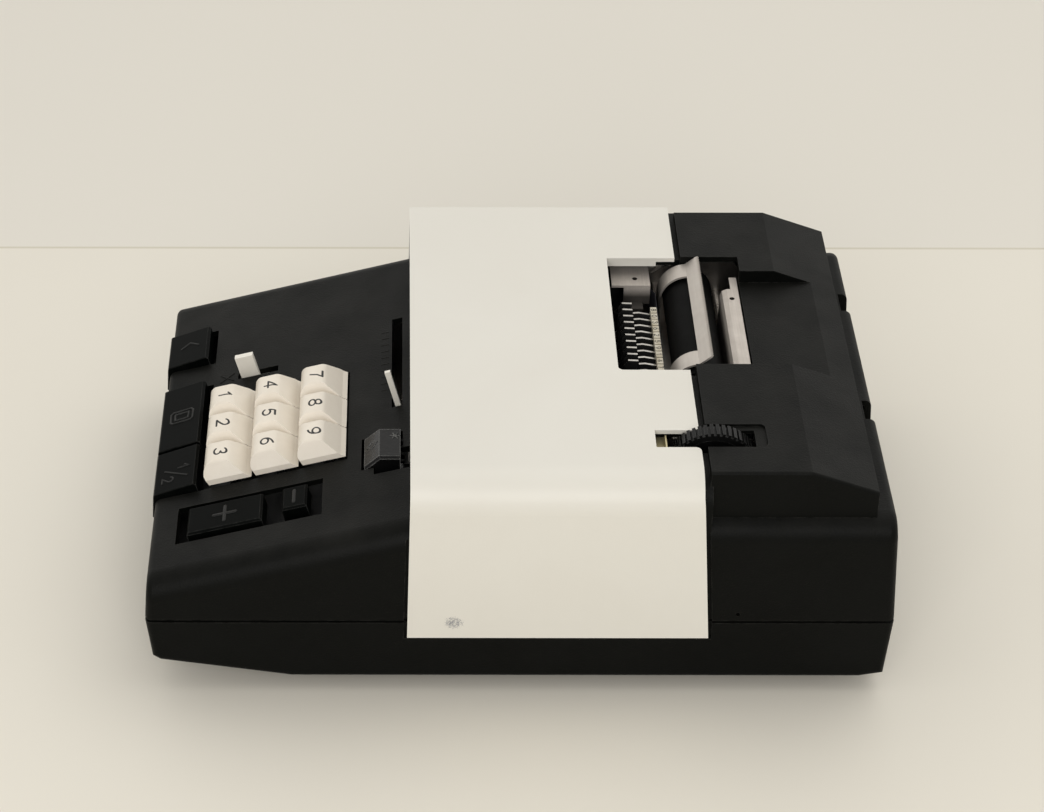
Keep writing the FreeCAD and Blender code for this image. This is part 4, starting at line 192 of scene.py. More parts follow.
def makeBrushGroup():
    # rolling and grinding lines of sheet steel, drawn out along one axis
    tree, start, end = newGroup("rolledLines", [
        ("Stretch", "NodeSocketVector", brushShape["stretch"]),
    ], [("Height", "NodeSocketFloat"), ("Tone", "NodeSocketFloat")])
    where = tree.nodes.new("ShaderNodeTexCoord")
    scaled = addNode(tree, "ShaderNodeVectorMath", {"operation": "MULTIPLY"})
    tree.links.new(where.outputs["Object"], scaled.inputs[0])
    tree.links.new(start.outputs["Stretch"], scaled.inputs[1])
    lines = addNode(tree, "ShaderNodeTexNoise", Scale=1.0, Detail=4.0, Roughness=0.55)
    tree.links.new(scaled.outputs["Vector"], lines.inputs["Vector"])
    stains = addNode(tree, "ShaderNodeTexNoise", Scale=brushShape["stainScale"], Detail=5.0, Roughness=0.6)
    tree.links.new(where.outputs["Object"], stains.inputs["Vector"])
    tree.links.new(lines.outputs["Fac"], end.inputs["Height"])
    tone = calc(tree, "ADD", calc(tree, "MULTIPLY", lines.outputs["Fac"], brushShape["lineShare"]),
                calc(tree, "MULTIPLY", stains.outputs["Fac"], brushShape["stainShare"]))
    tree.links.new(tone, end.inputs["Tone"])
    return tree


smudgeShape = {"scale": 45.0, "span": (0.35, 0.68)}


def makeSmudgeGroup():
    # handling marks: soft blotches with faint fine streaks
    tree, start, end = newGroup("handling", [
        ("Scale", "NodeSocketFloat", smudgeShape["scale"]),
    ], [("Mask", "NodeSocketFloat")])
    where = tree.nodes.new("ShaderNodeTexCoord")
    broad = addNode(tree, "ShaderNodeTexNoise", Detail=6.0, Roughness=0.62, Distortion=0.6)
    tree.links.new(where.outputs["Object"], broad.inputs["Vector"])
    tree.links.new(start.outputs["Scale"], broad.inputs["Scale"])
    tree.links.new(spread(tree, broad.outputs["Fac"], *smudgeShape["span"]), end.inputs["Mask"])
    return tree


grainGroup = makeGrainGroup()
highlightWearGroup = makeWearGroup()
sheenDustGroup = makeDustGroup()
brushGroup = makeBrushGroup()
smudgeGroup = makeSmudgeGroup()
print("shader groups made")


def useGroup(tree, group, **values):
    node = tree.nodes.new("ShaderNodeGroup")
    node.node_tree = group
    for key, value in values.items():
        node.inputs[key].default_value = value
    return node


mixSockets = {"first": 6, "second": 7, "result": 2}   # the colour sockets of a mix node, by number


def blendColour(tree, mask, first, second):
    node = tree.nodes.new("ShaderNodeMix")
    node.data_type = "RGBA"
    for which, value in (("first", first), ("second", second)):
        socket = node.inputs[mixSockets[which]]
        if isinstance(value, tuple):
            socket.default_value = (*value, 1.0)
        else:
            tree.links.new(value, socket)
    tree.links.new(mask, node.inputs[0])
    return node.outputs[mixSockets["result"]]


def makeBump(tree, height, depth, strength=1.0):
    bump = addNode(tree, "ShaderNodeBump", Distance=depth, Strength=strength)
    tree.links.new(height, bump.inputs["Height"])
    return bump.outputs["Normal"]


def newMaterial(name):
    material = bpy.data.materials.new(name)
    material.use_nodes = True
    tree = material.node_tree
    return material, tree, tree.nodes["Principled BSDF"]


mouldDefaults = {"markScale": 45.0, "sheenDust": 0.0, "sheenDustScale": 60.0, "highlightWear": 0.0, "breakup": 0.5,
                 "grainStrength": 1.0, "gloss": 0.5}


def makeMoulded(name, ownLook):
    # plastic, paint and rubber: grain, handling marks, settled dust with a painted sheen on up-facing faces,
    # and rubbed edges with a painted highlight, over one colour
    look = {**mouldDefaults, **ownLook}
    material, tree, shader = newMaterial(name)
    grain = useGroup(tree, grainGroup, Scale=look["grainScale"], Fine=grainShape["fine"])
    marks = useGroup(tree, smudgeGroup, Scale=look["markScale"])
    colour = blendColour(tree, marks.outputs["Mask"], look["colour"], look["second"])
    # painted sheen on up-facing faces, partly settled dust: a lighter film where faces look up
    if look["sheenDust"]:
        sheenDust = useGroup(tree, sheenDustGroup, Scale=look["sheenDustScale"], Amount=look["sheenDust"])
        colour = blendColour(tree, sheenDust.outputs["Mask"], colour, look["sheenDustColour"])
    # painted highlight along the edges, partly rubbed wear: a lighter colour where the rounded normal leaves
    # the true one
    if look["highlightWear"]:
        highlightWear = useGroup(tree, highlightWearGroup, Width=look["highlightWear"], Breakup=look["breakup"])
        colour = blendColour(tree, highlightWear.outputs["Mask"], colour, look["highlightWearColour"])
    tree.links.new(colour, shader.inputs["Base Color"])
    low, high = look["roughness"]
    tree.links.new(spread(tree, marks.outputs["Mask"], 0.0, 1.0, low, high), shader.inputs["Roughness"])
    tree.links.new(makeBump(tree, grain.outputs["Height"], look["grainDepth"], look["grainStrength"]),
                   shader.inputs["Normal"])
    shader.inputs["Specular IOR Level"].default_value = look["gloss"]
    return material


holeRim = 0.00003


def addGrime(tree, colour, look):
    # painted shade: darkens what lies deep in the works, below the window, and the walls of small holes,
    # where shade falls
    parts = axisParts(tree)
    low, high, most = look["paintedShade"]
    shadeMask = spread(tree, parts["Z"], high, low, 0.0, most)
    for x, y, radius in look.get("holes", ()):
        away = distance(tree, calc(tree, "SUBTRACT", parts["X"], x), calc(tree, "SUBTRACT", parts["Y"], y))
        shadeMask = calc(tree, "MAXIMUM", shadeMask, spread(tree, away, radius + holeRim, radius - holeRim))
    return blendColour(tree, shadeMask, colour, look["paintedShadeColour"])


def makeMetal(name, look):
    # bare or plated metal with rolling lines, stains and dulled patches
    material, tree, shader = newMaterial(name)
    lines = useGroup(tree, brushGroup, Stretch=look["stretch"])
    tone = spread(tree, lines.outputs["Tone"], *toneSpan)
    colour = blendColour(tree, tone, look["colour"], look["second"])
    # painted shade, where a look asks for it: darker low in the works and on the walls of small holes
    if look.get("paintedShade"):
        colour = addGrime(tree, colour, look)
    tree.links.new(colour, shader.inputs["Base Color"])
    low, high = look["roughness"]
    tree.links.new(spread(tree, lines.outputs["Tone"], *toneSpan, low, high), shader.inputs["Roughness"])
    tree.links.new(makeBump(tree, lines.outputs["Height"], look["depth"]), shader.inputs["Normal"])
    shader.inputs["Metallic"].default_value = look.get("metallic", 1.0)
    return material


def makeEdgeLit(name, look):
    # blackened plates whose stamped edges are bare steel: the broad faces look along X
    material, tree, shader = newMaterial(name)
    lines = useGroup(tree, brushGroup, Stretch=look["stretch"])
    parts = axisParts(tree, "Normal")
    edge = spread(tree, calc(tree, "ABSOLUTE", parts["X"]), *look["edgeSpan"])
    tone = spread(tree, lines.outputs["Tone"], *toneSpan)
    bright = blendColour(tree, tone, look["edge"], look["edgeSecond"])
    tree.links.new(blendColour(tree, edge, look["face"], bright), shader.inputs["Base Color"])
    tree.links.new(edge, shader.inputs["Metallic"])
    tree.links.new(spread(tree, edge, 0.0, 1.0, *look["roughness"]), shader.inputs["Roughness"])
    tree.links.new(makeBump(tree, lines.outputs["Height"], look["depth"]), shader.inputs["Normal"])
    return material


caseLook = {
    "colour": (0.0014, 0.0017, 0.0013), "second": (0.0028, 0.0031, 0.0026), "roughness": (0.40, 0.52),
    "grainScale": 1500.0, "grainDepth": 0.00009, "grainStrength": 0.8, "markScale": 26.0,
    # the dust colour lays a painted sheen on up-facing faces, partly settled dust
    "sheenDust": 0.07, "sheenDustColour": (0.20, 0.19, 0.17), "sheenDustScale": 40.0,
    # the wear colour is a painted highlight along the edges, partly rubbed wear
    "highlightWear": 0.0005, "highlightWearColour": (0.045, 0.044, 0.040), "breakup": 0.6, "gloss": 0.085,
}
coverLook = {
    "colour": (0.720, 0.700, 0.640), "second": (0.705, 0.682, 0.620), "roughness": (0.36, 0.44),
    "grainScale": 900.0, "grainDepth": 0.000012, "markScale": 14.0,
    "sheenDust": 0.05, "sheenDustColour": (0.50, 0.46, 0.38), "sheenDustScale": 22.0,
    # the wear colour is a painted highlight along the band's edges, partly rubbed wear
    "highlightWear": 0.0006, "highlightWearColour": (0.80, 0.78, 0.72), "breakup": 0.2, "gloss": 0.45,
}
looks = {
    # in these looks the wear colour is a painted highlight along the edges, partly rubbed wear
    "keyIvory": {
        "colour": (0.790, 0.728, 0.632), "second": (0.760, 0.695, 0.598), "roughness": (0.30, 0.40),
        "grainScale": 1500.0, "grainDepth": 0.000015, "markScale": 120.0,
        "highlightWear": 0.0004, "highlightWearColour": (0.83, 0.78, 0.69), "breakup": 0.2,
    },
    "keySatin": {
        "colour": (0.0010, 0.0014, 0.0012), "second": (0.0022, 0.0027, 0.0024), "roughness": (0.30, 0.42),
        "grainScale": 2600.0, "grainDepth": 0.00002, "markScale": 90.0, "gloss": 0.03,
        "highlightWear": 0.0006, "highlightWearColour": (0.055, 0.055, 0.052),
    },
    # painted highlight: the raised signs are coloured lighter than their keys, partly as rubbed wear
    "signHighlightWear": {
        "colour": (0.0120, 0.0123, 0.0117), "second": (0.0070, 0.0073, 0.0070), "roughness": (0.34, 0.46),
        "grainScale": 2600.0, "grainDepth": 0.00001, "markScale": 300.0, "gloss": 0.2,
    },
    "keyGloss": {
        "colour": (0.0035, 0.0035, 0.0036), "second": (0.0055, 0.0055, 0.0055), "roughness": (0.10, 0.22),
        "grainScale": 700.0, "grainDepth": 0.00006, "markScale": 140.0, "gloss": 0.22,
        "highlightWear": 0.0007, "highlightWearColour": (0.24, 0.24, 0.23), "breakup": 0.25,
    },
    "tabIvory": {
        "colour": (0.800, 0.765, 0.690), "second": (0.770, 0.735, 0.655), "roughness": (0.30, 0.40),
        "grainScale": 1500.0, "grainDepth": 0.00001, "markScale": 150.0,
        "highlightWear": 0.0004, "highlightWearColour": (0.86, 0.84, 0.79), "breakup": 0.1,
    },
    "rubberBlack": {
        "colour": (0.0022, 0.0023, 0.0023), "second": (0.0036, 0.0036, 0.0035), "roughness": (0.45, 0.65),
        "grainScale": 2200.0, "grainDepth": 0.00004, "markScale": 60.0, "gloss": 0.05,
        "sheenDust": 0.01, "sheenDustColour": (0.17, 0.16, 0.15),
    },
    "slugCream": {
        "colour": (0.640, 0.600, 0.500), "second": (0.430, 0.375, 0.270), "roughness": (0.34, 0.50),
        "grainScale": 1800.0, "grainDepth": 0.00003, "markScale": 260.0,
    },
    "motorEnamel": {
        "colour": (0.050, 0.055, 0.060), "second": (0.070, 0.075, 0.080), "roughness": (0.30, 0.45),
        "grainScale": 500.0, "grainDepth": 0.00005, "sheenDust": 0.2, "sheenDustColour": (0.22, 0.20, 0.17),
    },
    "ribbonInk": {
        "colour": (0.006, 0.006, 0.010), "second": (0.014, 0.013, 0.018), "roughness": (0.65, 0.85),
        "grainScale": 3200.0, "grainDepth": 0.00005, "markScale": 90.0,
    },
    "spoolBlack": {
        "colour": (0.0080, 0.0080, 0.0085), "second": (0.0130, 0.0128, 0.0125), "roughness": (0.40, 0.55),
        "grainScale": 900.0, "grainDepth": 0.00002, "markScale": 110.0, "gloss": 0.25,
    },
    "nylonWhite": {
        "colour": (0.620, 0.590, 0.510), "second": (0.520, 0.490, 0.410), "roughness": (0.40, 0.55),
        "grainScale": 900.0, "grainDepth": 0.00002, "markScale": 110.0,
    },
    "inletBlack": {
        "colour": (0.0036, 0.0037, 0.0036), "second": (0.0055, 0.0055, 0.0054), "roughness": (0.22, 0.36),
        "grainScale": 1600.0, "grainDepth": 0.00003, "gloss": 0.16,
        "highlightWear": 0.0004, "highlightWearColour": (0.07, 0.07, 0.068),
    },
    "blackenedSteel": {
        "colour": (0.0070, 0.0072, 0.0075), "second": (0.0110, 0.0110, 0.0110), "roughness": (0.40, 0.60),
        "grainScale": 1200.0, "grainDepth": 0.00003, "markScale": 70.0, "gloss": 0.3,
    },
    # ink of the printed numerals and type; the same black also paints the shade of the total key's groove
    "inkAndGrooveShade": {
        "colour": (0.005, 0.005, 0.005), "second": (0.009, 0.009, 0.008), "roughness": (0.40, 0.55),
        "grainScale": 2400.0, "grainDepth": 0.00001, "markScale": 300.0,
    },
}
metals = {
    "platedSteel": {
        "colour": (0.600, 0.550, 0.500), "second": (0.500, 0.455, 0.410), "roughness": (0.42, 0.56),
        "stretch": (50.0, 1900.0, 1900.0), "depth": 0.00001, "metallic": 0.35,
        # painted shade below the window and on the walls of the listed holes
        "paintedShade": (0.0865, 0.0905, 0.93), "paintedShadeColour": (0.035, 0.032, 0.028),
        "holes": ((-0.0544, 0.0509, 0.00105), (-0.0345, 0.0888, 0.00105), (0.0145, 0.0888, 0.00105)),
    },
    "sheetSteel": {
        "colour": (0.520, 0.490, 0.455), "second": (0.400, 0.375, 0.345), "roughness": (0.34, 0.48),
        "stretch": (50.0, 1900.0, 1900.0), "depth": 0.000012,
    },
    "bladeSteel": {
        "colour": (0.545, 0.505, 0.460), "second": (0.500, 0.460, 0.418), "roughness": (0.42, 0.52),
        "stretch": (60.0, 900.0, 900.0), "depth": 0.000003, "metallic": 0.6,
        # painted shade low on the parts below the window
        "paintedShade": (0.0880, 0.0955, 0.95), "paintedShadeColour": (0.020, 0.019, 0.017),
    },
    "brightSteel": {
        "colour": (0.640, 0.620, 0.590), "second": (0.500, 0.480, 0.450), "roughness": (0.18, 0.32),
        "stretch": (1800.0, 80.0, 80.0), "depth": 0.000006,
    },
    "brassYellow": {
        "colour": (0.640, 0.570, 0.360), "second": (0.420, 0.350, 0.190), "roughness": (0.34, 0.50),
        "stretch": (60.0, 1600.0, 1600.0), "depth": 0.00001, "metallic": 0.5,
    },
}
materials = {"caseBlack": makeMoulded("caseBlack", caseLook)}
for name, look in looks.items():
    materials[name] = makeMoulded(name, look)
for name, look in metals.items():
    materials[name] = makeMetal(name, look)
materials["stampedPlate"] = makeEdgeLit("stampedPlate", {
    "face": (0.012, 0.012, 0.012), "edge": (0.62, 0.60, 0.56), "edgeSecond": (0.44, 0.42, 0.39),
    "edgeSpan": (0.75, 0.35), "roughness": (0.5, 0.32), "stretch": (60.0, 900.0, 900.0), "depth": 0.00001,
})


scuff = {"centre": (-0.0250, 0.0352), "across": (0.0072, 0.0058), "fade": (1.15, 0.35),
         "flap": (0.090, 0.095), "rubbed": (0.42, 0.56), "grain": 900.0, "colour": (0.27, 0.27, 0.28)}


def makeCover():
    # the pale band: smooth, a little uneven, with one grey scuff low on its right flap
    material = makeMoulded("coverPale", coverLook)
    tree = material.node_tree
    shader = tree.nodes["Principled BSDF"]
    parts = axisParts(tree)
    offsets = [calc(tree, "DIVIDE", calc(tree, "SUBTRACT", parts[axis], middle), across)
               for axis, middle, across in zip("YZ", scuff["centre"], scuff["across"])]
    patch = spread(tree, distance(tree, *offsets), *scuff["fade"])
    side = spread(tree, parts["X"], *scuff["flap"])
    where = tree.nodes.new("ShaderNodeTexCoord")
    ragged = addNode(tree, "ShaderNodeTexNoise", Scale=scuff["grain"], Detail=5.0, Roughness=0.7,
                     Distortion=1.5)
    tree.links.new(where.outputs["Object"], ragged.inputs["Vector"])
    rubbed = spread(tree, calc(tree, "MULTIPLY", ragged.outputs["Fac"], patch), *scuff["rubbed"])
    mask = calc(tree, "MULTIPLY", rubbed, side)
    below = shader.inputs["Base Color"].links[0].from_socket
    tree.links.new(blendColour(tree, mask, below, scuff["colour"]), shader.inputs["Base Color"])
    return material


materials["coverPale"] = makeCover()


stem = {"from": 0.66, "to": 0.5, "colour": (0.006, 0.006, 0.006)}


def darkenStems(material):
    # the stems of the pale keys are black up to just under the caps
    tree = material.node_tree
    shader = tree.nodes["Principled BSDF"]
    slope = math.radians(deck["slope"])
    parts = axisParts(tree)
    rise = calc(tree, "SUBTRACT", calc(tree, "MULTIPLY", parts["Z"], math.cos(slope)),
                calc(tree, "MULTIPLY", parts["Y"], math.sin(slope)))
    deckRise = (deck["frontZ"] * math.cos(slope) - deck["frontY"] * math.sin(slope)) * mm
    mask = spread(tree, rise, deckRise + stem["from"] * mm, deckRise + stem["to"] * mm)
    below = shader.inputs["Base Color"].links[0].from_socket
    tree.links.new(blendColour(tree, mask, below, stem["colour"]), shader.inputs["Base Color"])


darkenStems(materials["keyIvory"])
print("materials made:", len(materials))

nodeFinish = {
    "caseBlack": ["upper_casing", "base_shell"],
    "coverPale": ["centre_cover"],
    "keyIvory": ["key_%d" % i for i in range(1, 10)],
    "keySatin": ["key_back", "key_zero", "key_half", "key_plus", "key_minus"],
    "keyGloss": ["key_total"],
    "tabIvory": ["repeat_tab", "column_pointer"],
    "rubberBlack": ["rubber_feet", "platen_roller", "pressure_rollers"],
    "inletBlack": ["thumbwheel", "mains_inlet"],
    "platedSteel": ["paper_guide", "ribbon_bracket"],
    "sheetSteel": ["left_frame", "right_frame", "spool_plates", "motor_cradle", "cross_bar"],
    "blackenedSteel": ["key_guide_plate", "key_comb_plate", "stop_pins", "pin_carriage"],
    "bladeSteel": ["tear_off_frame"],
    "brightSteel": ["screws", "tie_rods", "carriage_rails", "sector_shaft", "platen_shaft", "pressure_shaft",
                    "feed_pawl", "ratchet_wheel", "main_shaft", "accumulator_shaft", "motor_pinion",
                    "drive_cams"],
    "brassYellow": ["wheel_bracket", "platen_bushes", "accumulator_gears"],
    "stampedPlate": ["type_sectors", "index_levers"],
    "slugCream": ["type_slugs"],
    "motorEnamel": ["motor"],
    "ribbonInk": ["ribbon"],
    "spoolBlack": ["ribbon_spool_left", "ribbon_spool_right"],
    "nylonWhite": ["drive_gear"],
}
for finish, members in nodeFinish.items():
    for member in members:
        for holder in nodes[member].material_slots:
            holder.material = materials[finish]
bare = sorted(set(nodes) - {member for members in nodeFinish.values() for member in members})
print("nodes with no new finish:", bare)


def arc(cx, cy, rx, ry, start, end, steps=16):
    points = []
    for i in range(steps + 1):
        angle = math.radians(start + (end - start) * i / steps)
        points.append((cx + rx * math.cos(angle), cy + ry * math.sin(angle)))
    return points


stroke = {
    "profile": ((-1.0, 0.0), (-0.82, 0.6), (-0.4, 0.94), (0.0, 1.0), (0.4, 0.94), (0.82, 0.6), (1.0, 0.0)),
    "capAngles": (25, 50, 72, 88), "widest": 1.6, "sharpest": 0.3, "endRise": 0.25, "step": 0.3,
}


def strokeRings(points, closed, half):
    # a ring of places along a line: point, sideways direction and width share, with rounded ends
    count = len(points)
    rings = []
    for i, (x, y) in enumerate(points):
        before = points[(i - 1) % count] if closed or i > 0 else None
        after = points[(i + 1) % count] if closed or i < count - 1 else None
        heading = Vector((0.0, 0.0))
        for a, b in ((before, (x, y)), ((x, y), after)):
            if a is not None and b is not None:
                heading += (Vector(b) - Vector(a)).normalized()
        heading.normalize()
        side = Vector((-heading.y, heading.x))
        widen = 1.0
        if before is not None and after is not None:
            step = (Vector(after) - Vector((x, y))).normalized()
            widen = min(stroke["widest"], 1.0 / max(stroke["sharpest"], abs(step.dot(heading))))
        rings.append((Vector((x, y)), side, widen, heading))
    if closed:
        return rings
    first, last = rings[0], rings[-1]
    lead = []
    tail = []
    for angle in stroke["capAngles"]:
        out, thin = half * math.sin(math.radians(angle)), math.cos(math.radians(angle))
        lead.insert(0, (first[0] - first[3] * out, first[1], thin, first[3]))
        tail.append((last[0] + last[3] * out, last[1], thin, last[3]))
    return lead + rings + tail


def fineSteps(points, closed):
    # splits straight runs, so that a line can follow a rounded surface
    ends = points + points[:1] if closed else points
    fine = []
    for (x0, y0), (x1, y1) in zip(ends, ends[1:]):
        count = max(1, math.ceil(math.hypot(x1 - x0, y1 - y0) / stroke["step"]))
        fine += [(x0 + (x1 - x0) * i / count, y0 + (y1 - y0) * i / count) for i in range(count)]
    return fine if closed else fine + [ends[-1]]


def strokePiece(name, paths, place, size, half, rise, sink, body, finish, drop=None):
    # raised lines with a crowned section; each path is (points, closed) in a unit box, size scales it;
    # drop tells how far the surface below falls away at a distance up the piece
    vertices = []
    faces = []
    for points, closed in paths:
        scaled = [((x - 0.5) * size[0], (y - 0.5) * size[1]) for x, y in points]
        if drop:
            scaled = fineSteps(scaled, closed)
        rings = strokeRings(scaled, closed, half)
        first = len(vertices)
        width = len(stroke["profile"]) + 2
        for spot, side, share, _ in rings:
            for across, up in stroke["profile"]:
                flat = spot + side * (across * half * share)
                lower = drop(flat.y) if drop else 0.0
                high = up * rise * min(1.0, stroke["endRise"] + (1.0 - stroke["endRise"]) * share)
                vertices.append((flat.x * mm, flat.y * mm, (high - lower) * mm))
            for across in (1.0, -1.0):
                flat = spot + side * (across * half * share)
                lower = drop(flat.y) if drop else 0.0
                vertices.append((flat.x * mm, flat.y * mm, -(sink + lower) * mm))
        total = len(rings)
        for i in range(total if closed else total - 1):
            a, b = first + i * width, first + ((i + 1) % total) * width
            for j in range(width):
                k = (j + 1) % width
                faces.append((a + j, b + j, b + k, a + k))
        if not closed:
            faces.append(tuple(first + j for j in range(width)))
            faces.append(tuple(first + (total - 1) * width + j for j in reversed(range(width))))
    mesh = bpy.data.meshes.new(name)
    mesh.from_pydata(vertices, [], faces)
    mesh.transform(place)
    mesh.update()
    for face in mesh.polygons:
        face.use_smooth = True
    mesh.materials.append(materials[finish])
    piece = bpy.data.objects.new(name, mesh)
    bpy.context.scene.collection.objects.link(piece)
    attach(piece, body)
    return piece


numerals = {
    "0": [(arc(0.5, 0.5, 0.46, 0.5, 90, 430, 26), True)],
    "1": [([(0.26, 0.76), (0.42, 0.88), (0.56, 1.0), (0.56, 0.0)], False)],
    "2": [(arc(0.5, 0.71, 0.42, 0.29, 165, -30) + [(0.62, 0.36), (0.34, 0.16), (0.08, 0.0)], False),
          ([(0.08, 0.0), (0.94, 0.0)], False)],
    "3": [(arc(0.47, 0.765, 0.38, 0.235, 150, -75), False), (arc(0.47, 0.27, 0.44, 0.27, 80, -152), False)],
    "4": [([(0.66, 1.0), (0.04, 0.3), (0.98, 0.3)], False), ([(0.66, 1.0), (0.66, 0.0)], False)],
    "5": [([(0.86, 1.0), (0.2, 1.0), (0.13, 0.54)], False), (arc(0.46, 0.32, 0.44, 0.32, 138, -150), False)],
    "6": [(arc(0.5, 0.31, 0.42, 0.31, 90, 430, 24), True),
          (arc(0.86, 0.33, 0.78, 0.67, 180, 100, 12), False)],
    "7": [([(0.06, 1.0), (0.92, 1.0)], False), ([(0.92, 1.0), (0.6, 0.55), (0.4, 0.0)], False)],
    "8": [(arc(0.5, 0.765, 0.35, 0.235, 0, 340, 22), True), (arc(0.5, 0.265, 0.43, 0.265, 0, 340, 24), True)],
    "9": [(arc(0.5, 0.69, 0.42, 0.31, 90, 430, 24), True),
          (arc(0.14, 0.67, 0.78, 0.67, 0, -80, 12), False)],
}

digitKeys = {"pitch": 19.05, "firstX": -5.25, "firstU": 30.3, "back": 1.45, "top": 9.7,
             "flatEnd": 7.88, "ridgeRound": 5.0, "half": 0.40, "rise": 0.04, "sink": 0.10,
             "wide": 18.5, "size": (4.4, 4.9), "right": 0.5}


def ridgeDrop(y):
    # how far the cap's rounded ridge lies under the flat top there
    past = y + digitKeys["wide"] / 2 - digitKeys["back"] - digitKeys["flatEnd"]
    if past <= 0:
        return 0.0
    radius = digitKeys["ridgeRound"]
    return radius - math.sqrt(radius * radius - past * past)


for row in range(3):
    for column in range(3):
        number = 3 * row + column + 1
        x = digitKeys["firstX"] + column * digitKeys["pitch"] + digitKeys["right"]
        u = digitKeys["firstU"] + row * digitKeys["pitch"] - digitKeys["back"]
        strokePiece("numeral_%d" % number, numerals[str(number)], deckPlace(x, u, digitKeys["top"]),
                    digitKeys["size"], digitKeys["half"], digitKeys["rise"], digitKeys["sink"],
                    "key_%d" % number, "inkAndGrooveShade", ridgeDrop)
print("numerals set on the digit keys")


def onDeckAtY(x, y):
    # deck distance up the slope of a place given by its Y on the deck
    return x, (y - deck["frontY"]) / math.cos(math.radians(deck["slope"]))


frontSigns = {"top": 2.0, "lift": 1.6, "reach": 16.3, "half": 0.42, "rise": 0.32, "sink": 0.2}


def frontKeyPlace(x, y):
    # on the top of a front key, which rises towards its rear
    x, u = onDeckAtY(x, y)
    tilt = math.atan2(frontSigns["lift"], frontSigns["reach"])
    high = frontSigns["top"] + u * frontSigns["lift"] / frontSigns["reach"]
    return deckPlace(x, u, high) @ Matrix.Rotation(tilt, 4, "X")


signPaths = {
    "sign_back": ("key_back", (-55.4, -132.7), (5.0, 8.5),
                  [([(0.62, 0.95), (0.05, 0.5), (0.62, 0.05)], False)]),
    "sign_zero": ("key_zero", (-5.8, -133.0), (7.4, 9.6),
                  [([(0.14, 0.0), (0.86, 0.0), (1.0, 0.1), (1.0, 0.9), (0.86, 1.0), (0.14, 1.0), (0.0, 0.9),
                     (0.0, 0.1)], True),
                   ([(0.24, 0.2), (0.76, 0.2), (0.76, 0.8), (0.24, 0.8)], True)]),
}
for name, (body, spot, size, paths) in signPaths.items():
    strokePiece(name, paths, frontKeyPlace(*spot), size, frontSigns["half"],
                frontSigns["rise"], frontSigns["sink"], body, "signHighlightWear")
halfSign = {"spot": (32.4, -133.0), "size": (10.2, 11.6), "half": 0.40, "rise": 0.3, "sink": 0.2}
halfPaths = [
    ([(0.06, 0.80), (0.20, 0.98), (0.20, 0.58)], False),
    ([(0.22, 0.10), (0.80, 0.92)], False),
    (arc(0.80, 0.30, 0.14, 0.12, 165, -30, 8) + [(0.68, 0.02), (0.95, 0.02)], False),
]
strokePiece("sign_half", halfPaths, frontKeyPlace(*halfSign["spot"]),
            halfSign["size"], halfSign["half"], halfSign["rise"], halfSign["sink"], "key_half",
            "signHighlightWear")
functionSigns = {"plusSpot": (63.2, 29.8), "plusSize": 8.6, "minusSpot": (61.7, 57.5), "minusSize": 7.0,
                 "top": 1.5, "half": 0.75, "rise": 0.35, "sink": 0.2}
levelLine = ([(0.0, 0.5), (1.0, 0.5)], False)
uprightLine = ([(0.5, 0.0), (0.5, 1.0)], False)
for kind, paths in (("plus", [levelLine, uprightLine]), ("minus", [levelLine])):
    span = functionSigns[kind + "Size"]
    strokePiece("sign_" + kind, paths, deckPlace(*functionSigns[kind + "Spot"], functionSigns["top"]),
                (span, span), functionSigns["half"], functionSigns["rise"], functionSigns["sink"],
                "key_" + kind, "signHighlightWear")
print("signs raised on the black keys")

columnMarks = {"count": 10, "pitch": 4.5, "firstX": -38.0, "fromU": 91.4, "toU": 94.4, "half": 0.25,
               "rise": 0.16, "sink": 0.2}
for i in range(columnMarks["count"]):
    x = columnMarks["firstX"] + i * columnMarks["pitch"]
    middleU = (columnMarks["fromU"] + columnMarks["toU"]) / 2
    strokePiece("column_mark_%d" % i, [uprightLine], deckPlace(x, middleU),
                (1.0, columnMarks["toU"] - columnMarks["fromU"]), columnMarks["half"], columnMarks["rise"],
                columnMarks["sink"], "case", "caseBlack")
crossMark = {"spot": (-30.0, -116.5), "size": (5.0, 5.6), "half": 0.32, "rise": 0.26, "sink": 0.2}
strokePiece("cross_mark", [([(0.0, 0.0), (1.0, 1.0)], False), ([(0.0, 1.0), (1.0, 0.0)], False)],
            deckPlace(*onDeckAtY(*crossMark["spot"])), crossMark["size"], crossMark["half"],
            crossMark["rise"], crossMark["sink"], "case", "caseBlack")
print("moulded marks set on the deck")


totalKey = {"frontY": -59.3, "frontZ": 74.3, "ridgeY": -53.5, "topZ": 79.6, "rise": 0.3, "sink": 0.2,
            "diamondX": 40.2, "diamondSize": (4.6, 4.8), "diamondHalf": 0.5,
            "starSpot": (37.6, -47.4), "starSize": (3.6, 3.6), "starHalf": 0.3, "starAngles": (30, 90, 150),
            "grooveX": 48.6, "grooveHalf": 0.22, "grooveShort": 1.0, "grooveRise": 0.02, "grooveSink": 0.1}
facetTilt = math.atan2(totalKey["topZ"] - totalKey["frontZ"], totalKey["ridgeY"] - totalKey["frontY"])
facetLong = math.hypot(totalKey["topZ"] - totalKey["frontZ"], totalKey["ridgeY"] - totalKey["frontY"])


def facetPlace(x):
    # the middle of the key's sloping front face
    y = (totalKey["frontY"] + totalKey["ridgeY"]) / 2
    z = (totalKey["frontZ"] + totalKey["topZ"]) / 2
    return Matrix.Translation((x * mm, y * mm, z * mm)) @ Matrix.Rotation(facetTilt, 4, "X")


strokePiece("total_diamond", [([(0.5, 0.0), (1.0, 0.5), (0.5, 1.0), (0.0, 0.5)], True)],
            facetPlace(totalKey["diamondX"]), totalKey["diamondSize"], totalKey["diamondHalf"],
            totalKey["rise"], totalKey["sink"], "key_total", "keyGloss")
